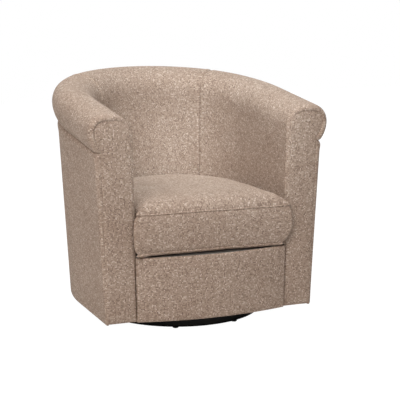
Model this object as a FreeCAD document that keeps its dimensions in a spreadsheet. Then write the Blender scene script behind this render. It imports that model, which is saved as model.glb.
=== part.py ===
import FreeCAD, Part
import Sketcher
import math
import os

# Swivel barrel chair. Millimetres, +Z up, the front of the chair faces -Y.
# The origin is where the swivel's axis meets the floor.

doc = FreeCAD.newDocument("swivel_barrel_chair")
sizes = doc.addObject("Spreadsheet::Sheet", "sizes")

DRIVING_SIZES = [
    # Plan line of the padded rim: straight arms, a side arc on each side, one back arc
    ("rim_half_width", 341, "swivel axis to the rim's line over an arm"),
    ("arm_reach", 305, "swivel axis forward to the arm's front face"),
    ("rim_back", 414, "swivel axis back to the rim's line"),
    ("side_arc_angle", 22.377, "turn of the rim's line over a side arc, degrees"),
    ("seam_angle", 42, "seams between arms and back, degrees round the back arc from the side"),
    # Padded rim
    ("rim_front_height", 644, "floor to the rim's line at the arm's front"),
    ("rim_slope", 5.85, "rise of the rim towards the back, degrees"),
    ("roll_out", 59, "rim's line to the outermost point of the padding"),
    ("roll_crown", 58.5, "rim's line up to the top of the padding"),
    ("roll_in", 77, "rim's line to the inner face of the padding"),
    ("roll_seat", 47.5, "rim's line down to the flat that the padding sits on"),
    ("roll_shoulder", 50, "radius over the outer shoulder"),
    ("roll_belly", 92, "radius of the overhang below the shoulder"),
    ("roll_cheek", 70, "radius from the top down to the inner face"),
    ("roll_end_round", 12, "rounding at the arm's front end"),
    # Upholstered walls
    ("wall_foot", 9, "rim's line out to the outside panels at their foot"),
    ("wall_head", 40, "the same below the rim at the arm's front"),
    ("outside_thickness", 5, "outside panels"),
    ("lining_foot", 84, "rim's line in to the inside panels at the deck"),
    ("lining_head", 77, "the same below the rim"),
    ("lining_back", 56, "rim's line in to the back of the inside panels"),
    ("body_foot", 48, "floor to the lower edge of the upholstery"),
    ("front_pad", 9, "padding of the arm front panels"),
    ("front_inset", 12, "arm front panel's edge inside the rim's outline"),
    ("front_waist", 25, "rim's line out to the arm front panel at the crease"),
    # Apron
    ("apron_inset", 89, "rim's line in to the apron's ends"),
    ("apron_top", 255, "floor to the apron's upper edge"),
    ("apron_pad", 17, "padding of the apron"),
    ("apron_bow", 35, "how far the apron's middle stands ahead of its ends"),
    ("apron_proud", 8, "apron's ends ahead of the arm's front face"),
    # Frame
    ("board_thickness", 5, "boards behind the apron and the arm fronts"),
    ("frame_in", 50, "rim's line in to the posts"),
    ("frame_out", 1, "rim's line out to the posts"),
    ("bottom_rail_low", 50, "floor to the bottom rails"),
    ("bottom_rail_height", 28, "height of the bottom rails"),
    ("bottom_rail_in", 56, "rim's line in to the bottom rails"),
    ("rail_thickness", 28, "front rails from front to back at their ends"),
    ("seat_rail_low", 190, "floor to the seat rails"),
    ("seat_rail_top", 247, "floor to the top of the seat rails"),
    ("seat_rail_in", 84, "rim's line in to the seat rails"),
    ("post_thickness", 32, "arm posts from front to back"),
    ("rear_post_place", 24, "arm's rear post ahead of the swivel axis"),
    ("back_post_thickness", 24, "back posts"),
    ("rim_rail_thickness", 20, "curved rim rails"),
    ("rim_rail_out", 30, "rim's line out to the rim rails"),
    ("block_leg", 46, "leg of the corner blocks"),
    ("block_height", 40, "height of the corner blocks"),
    # Seat deck
    ("spring_wire", 3.8, "wire of the sinuous springs"),
    ("spring_width", 48, "width of a spring over its turns"),
    ("spring_pitch", 24, "aim for the step from run to run"),
    ("spring_spacing", 90, "step from spring to spring"),
    ("spring_count", 5, "seat springs"),
    ("clip_length", 20, "spring clip across the seat"),
    ("clip_depth", 14, "spring clip from front to back"),
    ("clip_height", 4.6, "spring clip over the rail"),
    ("felt_thickness", 2.5, "felt over the springs"),
    ("deck_thickness", 3.6, "deck cloth with its wadding"),
    ("deck_gap", 3, "deck's edge clear of the inside panels"),
    ("dust_cover_thickness", 1, "cloth below the frame"),
    ("dust_cover_bore", 160, "radius of the opening for the swivel"),
    # Seat cushion
    ("cushion_lift", 0.4, "cushion's underside over the deck"),
    ("cushion_border", 121, "seam to seam"),
    ("cushion_under", 10, "how far the underside swells below its seam"),
    ("cushion_crown", 32, "how far the top swells above its seam"),
    ("cushion_crown_reach", 165, "from the seam in to the flat middle of the top"),
    ("cushion_gap", 3, "cushion clear of the inside panels at its widest"),
    ("cushion_draw", 5, "seams drawn in behind the border's swell"),
    ("cushion_ahead", 13, "cushion's front corners ahead of the arm's front face"),
    ("cushion_bow", 20, "how far the cushion's front swells in plan"),
    ("cushion_corner", 30, "plan radius of the front corners"),
    # Base
    ("glide_height", 4, "glide below the hoop"),
    ("glide_radius", 10, "glide's foot"),
    ("glide_pin_radius", 2, "glide's pin"),
    ("glide_pin_length", 16, "glide's pin in the hoop"),
    ("glide_count", 8, "glides"),
    ("hoop_radius", 277, "outside of the base hoop"),
    ("hoop_wall", 20, "thickness of the hoop"),
    ("hoop_height", 38, "height of the hoop"),
    ("hoop_round", 4, "rounding of the hoop's edges"),
    ("beam_width", 70, "width of the base beams"),
    ("beam_height", 22, "height of the base beams"),
    ("beam_bore", 14, "radius of the recess for the pivot's head"),
    ("dowel_radius", 5, "dowels between beams and hoop"),
    ("dowel_in_hoop", 9, "dowel's depth in the hoop"),
    ("dowel_in_beam", 22, "dowel's depth in a beam"),
    # Swivel
    ("plate_thickness", 2.5, "steel plates"),
    ("plate_seat", 34, "floor to the lower plate"),
    ("lower_plate_radius", 128, "lower plate"),
    ("lower_screw_circle", 115, "screws through the lower plate"),
    ("upper_plate_length", 250, "upper plate across the chair"),
    ("upper_plate_width", 196, "upper plate from front to back"),
    ("upper_plate_corner", 16, "corner radius of the upper plate"),
    ("upper_screw_side", 105, "upper screws either side of the axis"),
    ("swivel_rail_place", 75, "swivel rails ahead of and behind the axis"),
    ("swivel_rail_width", 44, "swivel rails"),
    ("swivel_rail_height", 24, "swivel rails"),
    ("race_radius", 88, "circle of the ball centres"),
    ("race_width", 20, "width of a race"),
    ("race_height", 4.5, "height of a race"),
    ("race_split", 6, "space between the races"),
    ("ball_radius", 4, "bearing balls"),
    ("ball_play", 0.3, "balls clear of races and cage"),
    ("ball_count", 24, "bearing balls"),
    ("cage_height", 3.6, "ball cage"),
    ("cage_width", 14, "ball cage"),
    ("pivot_radius", 6, "pivot bolt"),
    ("pivot_head_radius", 12, "head of the pivot bolt"),
    ("pivot_head_height", 5, "head of the pivot bolt"),
    ("pivot_play", 0.06, "pivot bolt in its bush"),
    ("bush_wall", 3, "wall of the pivot bush"),
    ("bush_flange", 5, "flange beyond the bush"),
    ("bush_flange_height", 2, "flange of the pivot bush"),
    ("washer_radius", 15, "pivot washer"),
    ("washer_height", 2, "pivot washer"),
    ("washer_play", 0.4, "washer clear of the bush"),
    ("nut_flats", 19, "pivot nut across its flats"),
    ("nut_height", 8, "pivot nut"),
    ("bolt_tail", 3, "pivot bolt beyond its nut"),
    ("screw_radius", 2.5, "wood screws"),
    ("screw_head_radius", 5, "heads of the wood screws"),
    ("screw_head_height", 2.2, "heads of the wood screws"),
    ("screw_length", 18, "wood screws"),
]

for row, (alias, number, meaning) in enumerate(DRIVING_SIZES, start=1):
    sizes.set(f"A{row}", alias)
    sizes.set(f"B{row}", str(number))
    sizes.setAlias(f"B{row}", alias)
    sizes.set(f"C{row}", meaning)
doc.recompute()

nodes = []
X_AXIS = FreeCAD.Vector(1, 0, 0)
Z_AXIS = FreeCAD.Vector(0, 0, 1)
ORIGIN = FreeCAD.Vector(0, 0, 0)
FAR = 2000.0


def size(alias):
    return float(sizes.get(alias))


def bind(thing, **expressions):
    """Ties properties of an object to expressions over the sheet."""
    for name, expression in expressions.items():
        thing.setExpression(name.replace("__", "."), expression)


def keep(thing):
    """Marks an object as one of the chair's sub-parts."""
    nodes.append(thing)
    return thing


def solid(label, shape):
    """A sub-part whose shape comes from the functions below."""
    piece = doc.addObject("Part::Feature", label)
    piece.Label = label
    piece.Shape = shape
    return keep(piece)


# Helpers for bodies

def new_body(label):
    body = doc.addObject("PartDesign::Body", label)
    body.Label = label
    return keep(body)


def sketch_on(body, role, height="0"):
    """An empty sketch on one of the body's own origin planes, raised by an expression."""
    plane = next(feature for feature in body.Origin.OriginFeatures if feature.Role == role)
    sketch = body.newObject("Sketcher::SketchObject", body.Label + "_sketch")
    sketch.AttachmentSupport = [(plane, "")]
    sketch.MapMode = "FlatFace"
    bind(sketch, AttachmentOffset__Base__z=height)
    return sketch


def constrain(sketch, kind, *args, to):
    """A measured constraint tied to an expression."""
    index = sketch.addConstraint(Sketcher.Constraint(kind, *args, 1.0 if kind == "Radius" else 10.0))
    sketch.setExpression(f"Constraints[{index}]", to)


def draw_circle(sketch, radius, x="0", y="0"):
    """A circle with its centre at positive or zero distances from the sketch's origin."""
    start = FreeCAD.Vector(0 if x == "0" else 50, 0 if y == "0" else 50, 0)
    circle = sketch.addGeometry(Part.Circle(start, Z_AXIS, 5), False)
    if x == "0" and y == "0":
        sketch.addConstraint(Sketcher.Constraint("Coincident", circle, 3, -1, 1))
    elif y == "0":
        sketch.addConstraint(Sketcher.Constraint("PointOnObject", circle, 3, -1))
        constrain(sketch, "DistanceX", -1, 1, circle, 3, to=x)
    elif x == "0":
        sketch.addConstraint(Sketcher.Constraint("PointOnObject", circle, 3, -2))
        constrain(sketch, "DistanceY", -1, 1, circle, 3, to=y)
    else:
        constrain(sketch, "DistanceX", -1, 1, circle, 3, to=x)
        constrain(sketch, "DistanceY", -1, 1, circle, 3, to=y)
    constrain(sketch, "Radius", circle, to=radius)


def draw_lines(sketch, points):
    """A closed outline of straight lines through starting points."""
    vectors = [FreeCAD.Vector(x, y, 0) for x, y in points]
    lines = [Part.LineSegment(a, b) for a, b in zip(vectors, vectors[1:] + vectors[:1])]
    ids = sketch.addGeometry(lines, False)
    for a, b in zip(ids, ids[1:] + ids[:1]):
        sketch.addConstraint(Sketcher.Constraint("Coincident", a, 2, b, 1))
    for line in ids[0::2]:
        sketch.addConstraint(Sketcher.Constraint("Horizontal", line))
    for line in ids[1::2]:
        sketch.addConstraint(Sketcher.Constraint("Vertical", line))
    return ids


def draw_centred_rectangle(sketch, length, width):
    ids = draw_lines(sketch, [(-20, -10), (20, -10), (20, 10), (-20, 10)])
    sketch.addConstraint(Sketcher.Constraint("Symmetric", ids[0], 1, ids[2], 1, -1, 1))
    constrain(sketch, "DistanceX", ids[0], 1, ids[0], 2, to=length)
    constrain(sketch, "DistanceY", ids[1], 1, ids[1], 2, to=width)


def draw_profile_rectangle(sketch, inner, outer, low, high):
    """A rectangle in a plane through the axis: radii from inner to outer, heights from low to high."""
    ids = draw_lines(sketch, [(20, 20), (40, 20), (40, 40), (20, 40)])
    constrain(sketch, "DistanceX", -1, 1, ids[0], 1, to=inner)
    constrain(sketch, "DistanceX", -1, 1, ids[0], 2, to=outer)
    constrain(sketch, "DistanceY", -1, 1, ids[0], 1, to=low)
    constrain(sketch, "DistanceY", -1, 1, ids[2], 1, to=high)


def pad(body, sketch, length):
    feature = body.newObject("PartDesign::Pad", body.Label + "_pad")
    feature.Profile = sketch
    bind(feature, Length=length)
    doc.recompute()
    return feature


def cut(body, sketch, length, both_ways=False):
    """A pocket upwards from its sketch, or both ways from it, that must take something away."""
    before = body.Shape.Volume
    feature = body.newObject("PartDesign::Pocket", body.Label + "_pocket")
    feature.Profile = sketch
    feature.Midplane = both_ways
    feature.Reversed = not both_ways
    bind(feature, Length=length)
    doc.recompute()
    if not body.Shape.Volume < before - 0.01:
        raise ValueError("a pocket of " + body.Label + " cuts nothing")
    return feature


def turn(body, sketch, kind="PartDesign::Revolution"):
    """The profile turned round the vertical axis, as added or as removed material."""
    axis = next(feature for feature in body.Origin.OriginFeatures if feature.Role == "Z_Axis")
    feature = body.newObject(kind, body.Label + "_turn")
    feature.Profile = sketch
    feature.ReferenceAxis = (axis, [""])
    feature.Angle = 360
    doc.recompute()
    return feature


def repeat_round(body, feature, count):
    axis = next(line for line in body.Origin.OriginFeatures if line.Role == "Z_Axis")
    pattern = body.newObject("PartDesign::PolarPattern", body.Label + "_pattern")
    pattern.Originals = [feature]
    pattern.Axis = (axis, [""])
    pattern.Angle = 360
    bind(pattern, Occurrences=count)
    body.Tip = pattern
    doc.recompute()
    return pattern


def box(label, corner, extent):
    """A straight rail or post: its low corner and its extent along X, Y and Z, as expressions."""
    piece = doc.addObject("Part::Box", label)
    piece.Label = label
    bind(piece, Length=extent[0], Width=extent[1], Height=extent[2])
    bind(piece, Placement__Base__x=corner[0], Placement__Base__y=corner[1], Placement__Base__z=corner[2])
    return piece


# The plan line: from a front end straight back to y = 0, round a side arc, then the back arc.
# Offsets from it are positive outwards, and all parallel lines share the arcs' centres.

def plan_line(stretch=1.0):
    """Centres and radii of the plan line's arcs; stretch lengthens it from front to back."""
    half = size("rim_half_width")
    depth = size("rim_back") * stretch
    joint = size("side_arc_angle")
    cosine = math.cos(math.radians(joint))
    sine = math.sin(math.radians(joint))
    apart = (depth - half) / (cosine + sine - 1)
    side = half + apart * cosine
    back = side - apart
    side_centre = FreeCAD.Vector(half - side, 0, 0)
    back_centre = FreeCAD.Vector(0, depth - back, 0)
    return side_centre, side, back_centre, back, joint


def ring_point(centre, radius, degrees, height=0.0):
    angle = math.radians(degrees)
    return centre + FreeCAD.Vector(radius * math.cos(angle), radius * math.sin(angle), height)


def moved(shape, offset):
    copy = shape.copy()
    copy.translate(offset)
    return copy


def turned(shape, centre, degrees):
    copy = shape.copy()
    copy.rotate(centre, Z_AXIS, degrees)
    return copy


def mirrored(shape):
    return shape.mirror(ORIGIN, X_AXIS)


def round_piece(face, part, front, stretch=1.0, rear=None):
    """Carries a section along the plan line. The section stands in the plane y = 0, with x from the axis."""
    side_centre, side, back_centre, back, joint = plan_line(stretch)
    seam = size("seam_angle") if rear is None else rear
    to_back_arc = back_centre + FreeCAD.Vector(back - size("rim_half_width"), 0, 0)
    at_back_arc = moved(face, to_back_arc)
    if part == "back":
        return turned(at_back_arc, back_centre, seam).revolve(back_centre, Z_AXIS, 180 - 2 * seam)
    lengths = [face.revolve(side_centre, Z_AXIS, joint)]
    lengths.append(turned(at_back_arc, back_centre, joint).revolve(back_centre, Z_AXIS, seam - joint))
    if front > 0:
        lengths.append(face.extrude(FreeCAD.Vector(0, -front, 0)))
    return lengths[0].fuse(lengths[1:])


def section(points):
    """A straight-sided section: pairs of offset from the plan line and height."""
    half = size("rim_half_width")
    corners = [FreeCAD.Vector(half + offset, 0, height) for offset, height in points]
    return Part.Face(Part.makePolygon(corners + corners[:1]))


def rectangle_section(inner, outer, low, high):
    return section([(inner, low), (outer, low), (outer, high), (inner, high)])


RIM_AT_AXIS = size("rim_front_height") + size("arm_reach") * math.tan(math.radians(size("rim_slope")))
SLOPE_STRETCH = 1 / math.cos(math.radians(size("rim_slope")))


def on_rim_plane(shape):
    """Lifts a shape made about the plan line at height 0 into the sloping plane of the rim."""
    copy = shape.copy()
    copy.rotate(ORIGIN, X_AXIS, size("rim_slope"))
    copy.translate(FreeCAD.Vector(0, 0, RIM_AT_AXIS))
    return copy


def above_rim(level):
    """All space above a sloping plane, at a level measured from the rim's line."""
    return on_rim_plane(Part.makeBox(FAR, FAR, FAR, FreeCAD.Vector(-FAR / 2, -FAR / 2, level)))


def behind(y):
    """All space behind a vertical plane."""
    return Part.makeBox(FAR, FAR, FAR, FreeCAD.Vector(-FAR / 2, y, -FAR / 2))


def both_sides(name, right):
    """The right arm's piece and its mirror image for the left arm."""
    solid(name + "_right", right)
    solid(name + "_left", mirrored(right))


def one_solid(shape):
    """The single solid of a boolean's result."""
    if len(shape.Solids) != 1:
        raise ValueError(f"{len(shape.Solids)} solids where one belongs")
    return shape.Solids[0]


# Base: hoop, halved beams, dowels and glides

hoop_top = "(sizes.glide_height + sizes.hoop_height)"
beam_low = "(sizes.plate_seat - sizes.beam_height)"
beam_middle = "(sizes.plate_seat - sizes.beam_height / 2)"
beam_end = "sqrt((sizes.hoop_radius - sizes.hoop_wall)^2 - (sizes.beam_width / 2)^2)"
dowel_outer = "(sizes.hoop_radius - sizes.hoop_wall + sizes.dowel_in_hoop)"
glide_circle = "(sizes.hoop_radius - sizes.hoop_wall / 2)"

hoop = new_body("base_hoop")
profile = sketch_on(hoop, "XZ_Plane")
draw_profile_rectangle(profile, "sizes.hoop_radius - sizes.hoop_wall", "sizes.hoop_radius",
                       "sizes.glide_height", hoop_top)
turn(hoop, profile)
for role in ("XZ_Plane", "YZ_Plane"):
    dowel_sketch = sketch_on(hoop, role)
    draw_circle(dowel_sketch, "sizes.dowel_radius", y=beam_middle)
    cut(hoop, dowel_sketch, "2 * " + dowel_outer, both_ways=True)
pin_sketch = sketch_on(hoop, "XY_Plane", "sizes.glide_height")
bind(pin_sketch, AttachmentOffset__Rotation__Angle="180 / sizes.glide_count")
draw_circle(pin_sketch, "sizes.glide_pin_radius", x=glide_circle)
pin_hole = cut(hoop, pin_sketch, "sizes.glide_pin_length")
hoop_holes = repeat_round(hoop, pin_hole, "sizes.glide_count")
edges = [f"Edge{i}" for i, edge in enumerate(hoop.Shape.Edges, start=1)
         if abs(edge.BoundBox.XLength - 2 * size("hoop_radius")) < 0.01 and edge.BoundBox.ZLength < 0.01]
rounding = hoop.newObject("PartDesign::Fillet", "hoop_rounding")
rounding.Base = (hoop_holes, edges)
bind(rounding, Radius="sizes.hoop_round")
doc.recompute()


def base_beam(label, along_x, lap_on_top):
    """A beam across the hoop, halved where the two cross and bored for the pivot's head."""
    beam = new_body(label)
    outline = sketch_on(beam, "XY_Plane", beam_low)
    length = "2 * " + beam_end
    if along_x:
        draw_centred_rectangle(outline, length, "sizes.beam_width")
    else:
        draw_centred_rectangle(outline, "sizes.beam_width", length)
    pad(beam, outline, "sizes.beam_height")
    lap = sketch_on(beam, "XY_Plane", beam_middle if lap_on_top else beam_low)
    draw_centred_rectangle(lap, "sizes.beam_width", "sizes.beam_width")
    cut(beam, lap, "sizes.beam_height / 2")
    bore = sketch_on(beam, "XY_Plane", beam_low)
    draw_circle(bore, "sizes.beam_bore")
    cut(beam, bore, "sizes.beam_height")
    screw = sketch_on(beam, "XY_Plane", "sizes.plate_seat + sizes.plate_thickness - sizes.screw_length")
    if along_x:
        draw_circle(screw, "sizes.screw_radius", x="sizes.lower_screw_circle")
    else:
        draw_circle(screw, "sizes.screw_radius", y="sizes.lower_screw_circle")
    repeat_round(beam, cut(beam, screw, "sizes.screw_length"), "2")
    end = sketch_on(beam, "YZ_Plane" if along_x else "XZ_Plane", beam_end + " - sizes.dowel_in_beam")
    draw_circle(end, "sizes.dowel_radius", y=beam_middle)
    repeat_round(beam, cut(beam, end, "sizes.dowel_in_beam + sizes.beam_width"), "2")


base_beam("base_beam_long", along_x=True, lap_on_top=True)
base_beam("base_beam_cross", along_x=False, lap_on_top=False)


def ring_of(shape, count, start=0.0):
    """Copies of a shape at even steps round the swivel's axis."""
    step = 360 / count
    return Part.Compound([turned(shape, ORIGIN, start + step * k) for k in range(count)])


def upright(radius, height, x=0.0, y=0.0, low=0.0):
    return Part.makeCylinder(radius, height, FreeCAD.Vector(x, y, low))


DOWEL_OUTER = size("hoop_radius") - size("hoop_wall") + size("dowel_in_hoop")
BEAM_END = math.sqrt((size("hoop_radius") - size("hoop_wall"))**2 - (size("beam_width") / 2)**2)
DOWEL_INNER = BEAM_END - size("dowel_in_beam")
dowel = Part.makeCylinder(size("dowel_radius"), DOWEL_OUTER - DOWEL_INNER,
                          FreeCAD.Vector(DOWEL_INNER, 0, size("plate_seat") - size("beam_height") / 2), X_AXIS)
solid("base_dowels", ring_of(dowel, 4))

GLIDE_CIRCLE = size("hoop_radius") - size("hoop_wall") / 2
glide_foot = upright(size("glide_radius"), size("glide_height"), GLIDE_CIRCLE)
glide_foot = glide_foot.makeChamfer(size("glide_height") / 2,
                                    [edge for edge in glide_foot.Edges if edge.BoundBox.ZMax < 0.01])
glide_pin = upright(size("glide_pin_radius"), size("glide_pin_length"), GLIDE_CIRCLE, low=size("glide_height"))
glide = one_solid(glide_foot.fuse(glide_pin))
solid("floor_glides", ring_of(glide, int(size("glide_count")), 180 / size("glide_count")))


# Swivel: plates, races, cage, balls and pivot

plate_top = "(sizes.plate_seat + sizes.plate_thickness)"
race_middle = "(" + plate_top + " + sizes.race_height + sizes.race_split / 2)"
upper_race_low = "(" + race_middle + " + sizes.race_split / 2)"
upper_plate_low = "(" + upper_race_low + " + sizes.race_height)"
upper_plate_top = "(" + upper_plate_low + " + sizes.plate_thickness)"
PLATE_TOP = size("plate_seat") + size("plate_thickness")
RACE_MIDDLE = PLATE_TOP + size("race_height") + size("race_split") / 2
UPPER_PLATE_LOW = RACE_MIDDLE + size("race_split") / 2 + size("race_height")
UPPER_PLATE_TOP = UPPER_PLATE_LOW + size("plate_thickness")

lower_plate = new_body("swivel_lower_plate")
outline = sketch_on(lower_plate, "XY_Plane", "sizes.plate_seat")
draw_circle(outline, "sizes.lower_plate_radius")
draw_circle(outline, "sizes.pivot_radius")
pad(lower_plate, outline, "sizes.plate_thickness")
screw = sketch_on(lower_plate, "XY_Plane", "sizes.plate_seat")
draw_circle(screw, "sizes.screw_radius", x="sizes.lower_screw_circle")
repeat_round(lower_plate, cut(lower_plate, screw, "sizes.plate_thickness"), "4")


def race(label, low):
    """A steel ring with a groove for the balls."""
    ring = new_body(label)
    profile = sketch_on(ring, "XZ_Plane")
    draw_profile_rectangle(profile, "sizes.race_radius - sizes.race_width / 2",
                           "sizes.race_radius + sizes.race_width / 2", low, low + " + sizes.race_height")
    turn(ring, profile)
    groove = sketch_on(ring, "XZ_Plane")
    draw_circle(groove, "sizes.ball_radius + sizes.ball_play", x="sizes.race_radius", y=race_middle)
    turn(ring, groove, "PartDesign::Groove")


race("lower_race", plate_top)
race("upper_race", upper_race_low)

cage = new_body("ball_cage")
cage_low = "(" + race_middle + " - sizes.cage_height / 2)"
outline = sketch_on(cage, "XY_Plane", cage_low)
draw_circle(outline, "sizes.race_radius + sizes.cage_width / 2")
draw_circle(outline, "sizes.race_radius - sizes.cage_width / 2")
pad(cage, outline, "sizes.cage_height")
pocket = sketch_on(cage, "XY_Plane", cage_low)
draw_circle(pocket, "sizes.ball_radius + sizes.ball_play", x="sizes.race_radius")
repeat_round(cage, cut(cage, pocket, "sizes.cage_height"), "sizes.ball_count")

ball = Part.makeSphere(size("ball_radius"), FreeCAD.Vector(size("race_radius"), 0, RACE_MIDDLE))
solid("bearing_balls", ring_of(ball, int(size("ball_count"))))

bush_bore = "(sizes.pivot_radius + sizes.pivot_play)"
bush_outer = "(" + bush_bore + " + sizes.bush_wall)"
upper_plate = new_body("swivel_upper_plate")
outline = sketch_on(upper_plate, "XY_Plane", upper_plate_low)
draw_centred_rectangle(outline, "sizes.upper_plate_length", "sizes.upper_plate_width")
draw_circle(outline, bush_outer)
plate_pad = pad(upper_plate, outline, "sizes.plate_thickness")
corners = [f"Edge{i}" for i, edge in enumerate(upper_plate.Shape.Edges, start=1)
           if edge.BoundBox.XLength < 0.01 and edge.BoundBox.YLength < 0.01 and abs(edge.BoundBox.XMin) > 20]
rounding = upper_plate.newObject("PartDesign::Fillet", "upper_plate_corners")
rounding.Base = (plate_pad, corners)
bind(rounding, Radius="sizes.upper_plate_corner")
doc.recompute()
for place in ("sizes.upper_screw_side", "-sizes.upper_screw_side"):
    hole = sketch_on(upper_plate, "XY_Plane", upper_plate_low)
    bind(hole, AttachmentOffset__Base__x=place)
    draw_circle(hole, "sizes.screw_radius", y="sizes.swivel_rail_place")
    repeat_round(upper_plate, cut(upper_plate, hole, "sizes.plate_thickness"), "2")

bush = new_body("pivot_bush")
outline = sketch_on(bush, "XY_Plane", upper_plate_low)
draw_circle(outline, bush_outer)
draw_circle(outline, bush_bore)
pad(bush, outline, "sizes.plate_thickness")
flange = sketch_on(bush, "XY_Plane", upper_plate_top)
draw_circle(flange, bush_outer + " + sizes.bush_flange")
draw_circle(flange, bush_bore)
pad(bush, flange, "sizes.bush_flange_height")

washer_low = "(" + upper_plate_top + " + sizes.bush_flange_height + sizes.washer_play)"
nut_low = "(" + washer_low + " + sizes.washer_height)"
bolt_end = "(" + nut_low + " + sizes.nut_height + sizes.bolt_tail)"
bolt = new_body("pivot_bolt")
head = sketch_on(bolt, "XY_Plane", "sizes.plate_seat - sizes.pivot_head_height")
draw_circle(head, "sizes.pivot_head_radius")
pad(bolt, head, "sizes.pivot_head_height")
shank = sketch_on(bolt, "XY_Plane", "sizes.plate_seat")
draw_circle(shank, "sizes.pivot_radius")
pad(bolt, shank, bolt_end + " - sizes.plate_seat")

washer = new_body("pivot_washer")
outline = sketch_on(washer, "XY_Plane", washer_low)
draw_circle(outline, "sizes.washer_radius")
draw_circle(outline, "sizes.pivot_radius")
pad(washer, outline, "sizes.washer_height")

NUT_LOW = UPPER_PLATE_TOP + size("bush_flange_height") + size("washer_play") + size("washer_height")
nut_corner = size("nut_flats") / math.sqrt(3)
hexagon = [FreeCAD.Vector(nut_corner * math.cos(math.radians(60 * k)),
                          nut_corner * math.sin(math.radians(60 * k)), NUT_LOW) for k in range(7)]
nut = Part.Face(Part.makePolygon(hexagon)).extrude(FreeCAD.Vector(0, 0, size("nut_height")))
solid("pivot_nut", one_solid(nut.cut(upright(size("pivot_radius"), size("nut_height"), low=NUT_LOW))))


def wood_screw(x, y, seat, upwards):
    """A pan-head screw with its head against a plate's face at the height called seat."""
    way = 1 if upwards else -1
    face = FreeCAD.Vector(x, y, seat)
    shank = Part.makeCylinder(size("screw_radius"), size("screw_length"), face, Z_AXIS * way)
    head = Part.makeCylinder(size("screw_head_radius"), size("screw_head_height"), face, Z_AXIS * -way)
    return one_solid(shank.fuse(head))


lower_screw = wood_screw(size("lower_screw_circle"), 0, PLATE_TOP, upwards=False)
solid("lower_plate_screws", ring_of(lower_screw, 4))
upper_screws = [wood_screw(side * size("upper_screw_side"), way * size("swivel_rail_place"), UPPER_PLATE_LOW, True)
                for side in (-1, 1) for way in (-1, 1)]
solid("upper_plate_screws", Part.Compound(upper_screws))


# Frame: rails, posts and blocks

frame_inner = "(sizes.rim_half_width - sizes.frame_in)"
frame_width = "(sizes.frame_in + sizes.frame_out)"
bottom_inner = "(sizes.rim_half_width - sizes.bottom_rail_in)"
front_face = "(sizes.arm_reach - sizes.front_pad - sizes.board_thickness)"
FRONT_FACE = size("arm_reach") - size("front_pad") - size("board_thickness")
RAIL_TOP = size("bottom_rail_low") + size("bottom_rail_height")


side_arc = ("(sizes.rim_half_width + (sizes.rim_back - sizes.rim_half_width) * cos(sizes.side_arc_angle)"
            " / (cos(sizes.side_arc_angle) + sin(sizes.side_arc_angle) - 1))")
swivel_rail_rear = "(sizes.swivel_rail_place + sizes.swivel_rail_width / 2)"
curved_reach = (f"(sizes.rim_half_width - {side_arc}"
                f" + sqrt(({side_arc} - sizes.bottom_rail_in)^2 - {swivel_rail_rear}^2))")


def swivel_rail(label, way, reach):
    """A cross rail under the seat, as long as the space between the bottom rails, for the upper plate."""
    rail = new_body(label)
    outline = sketch_on(rail, "XY_Plane", upper_plate_top)
    bind(outline, AttachmentOffset__Base__y=way + "sizes.swivel_rail_place")
    draw_centred_rectangle(outline, "2 * " + reach, "sizes.swivel_rail_width")
    pad(rail, outline, "sizes.swivel_rail_height")
    for place in ("sizes.upper_screw_side", "-sizes.upper_screw_side"):
        hole = sketch_on(rail, "XY_Plane", upper_plate_low)
        bind(hole, AttachmentOffset__Base__x=place, AttachmentOffset__Base__y=way + "sizes.swivel_rail_place")
        draw_circle(hole, "sizes.screw_radius")
        cut(rail, hole, "sizes.screw_length")


swivel_rail("swivel_rail_front", "-", bottom_inner)
swivel_rail("swivel_rail_rear", "", curved_reach)

bottom_width = "(sizes.bottom_rail_in + sizes.frame_out)"
for side, low_corner in (("right", bottom_inner), ("left", "-" + bottom_inner + " - " + bottom_width)):
    rail = box("bottom_rail_" + side, (low_corner, "-" + front_face, "sizes.bottom_rail_low"),
               (bottom_width, front_face, "sizes.bottom_rail_height"))
    keep(rail)
    rail = box("seat_rail_" + side,
               ("sizes.rim_half_width - sizes.seat_rail_in" if side == "right" else "-" + frame_inner,
                "-" + front_face, "sizes.seat_rail_low"),
               ("sizes.seat_rail_in - sizes.frame_in", front_face, "sizes.seat_rail_top - sizes.seat_rail_low"))
    keep(rail)


def curved_rail(label, inner, outer, low, high):
    """A laminated rail that follows the plan line from one arm's y = 0 round the back to the other."""
    face = rectangle_section(-inner, outer, low, high)
    half = round_piece(face, "arm", 0, rear=90)
    rail = half.fuse(mirrored(half)).removeSplitter()
    solid(label, one_solid(rail))


curved_rail("bottom_rail_back", size("bottom_rail_in"), size("frame_out"), size("bottom_rail_low"), RAIL_TOP)
curved_rail("seat_rail_back", size("seat_rail_in"), -size("frame_in"), size("seat_rail_low"), size("seat_rail_top"))


def bowed_front(half_width, rear, front, low, high, bow):
    """A block across the front: straight behind, bowed ahead. Both faces lie ahead of the axis."""
    left_front = FreeCAD.Vector(-half_width, -front, low)
    right_front = FreeCAD.Vector(half_width, -front, low)
    left_rear = FreeCAD.Vector(-half_width, -rear, low)
    right_rear = FreeCAD.Vector(half_width, -rear, low)
    middle = FreeCAD.Vector(0, -front - bow, low)
    edges = [Part.makeLine(right_front, right_rear), Part.makeLine(right_rear, left_rear),
             Part.makeLine(left_rear, left_front), Part.Arc(left_front, middle, right_front).toShape()]
    return Part.Face(Part.Wire(edges)).extrude(FreeCAD.Vector(0, 0, high - low))


RAIL_REAR = FRONT_FACE - size("rail_thickness")
BOW = size("apron_bow")
BOARD_REAR = size("arm_reach") + size("apron_proud") - size("apron_pad") - size("board_thickness")
apron_half = size("rim_half_width") - size("apron_inset")
front_span = size("rim_half_width") - size("seat_rail_in")
bottom_span = size("rim_half_width") - size("bottom_rail_in")


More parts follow.
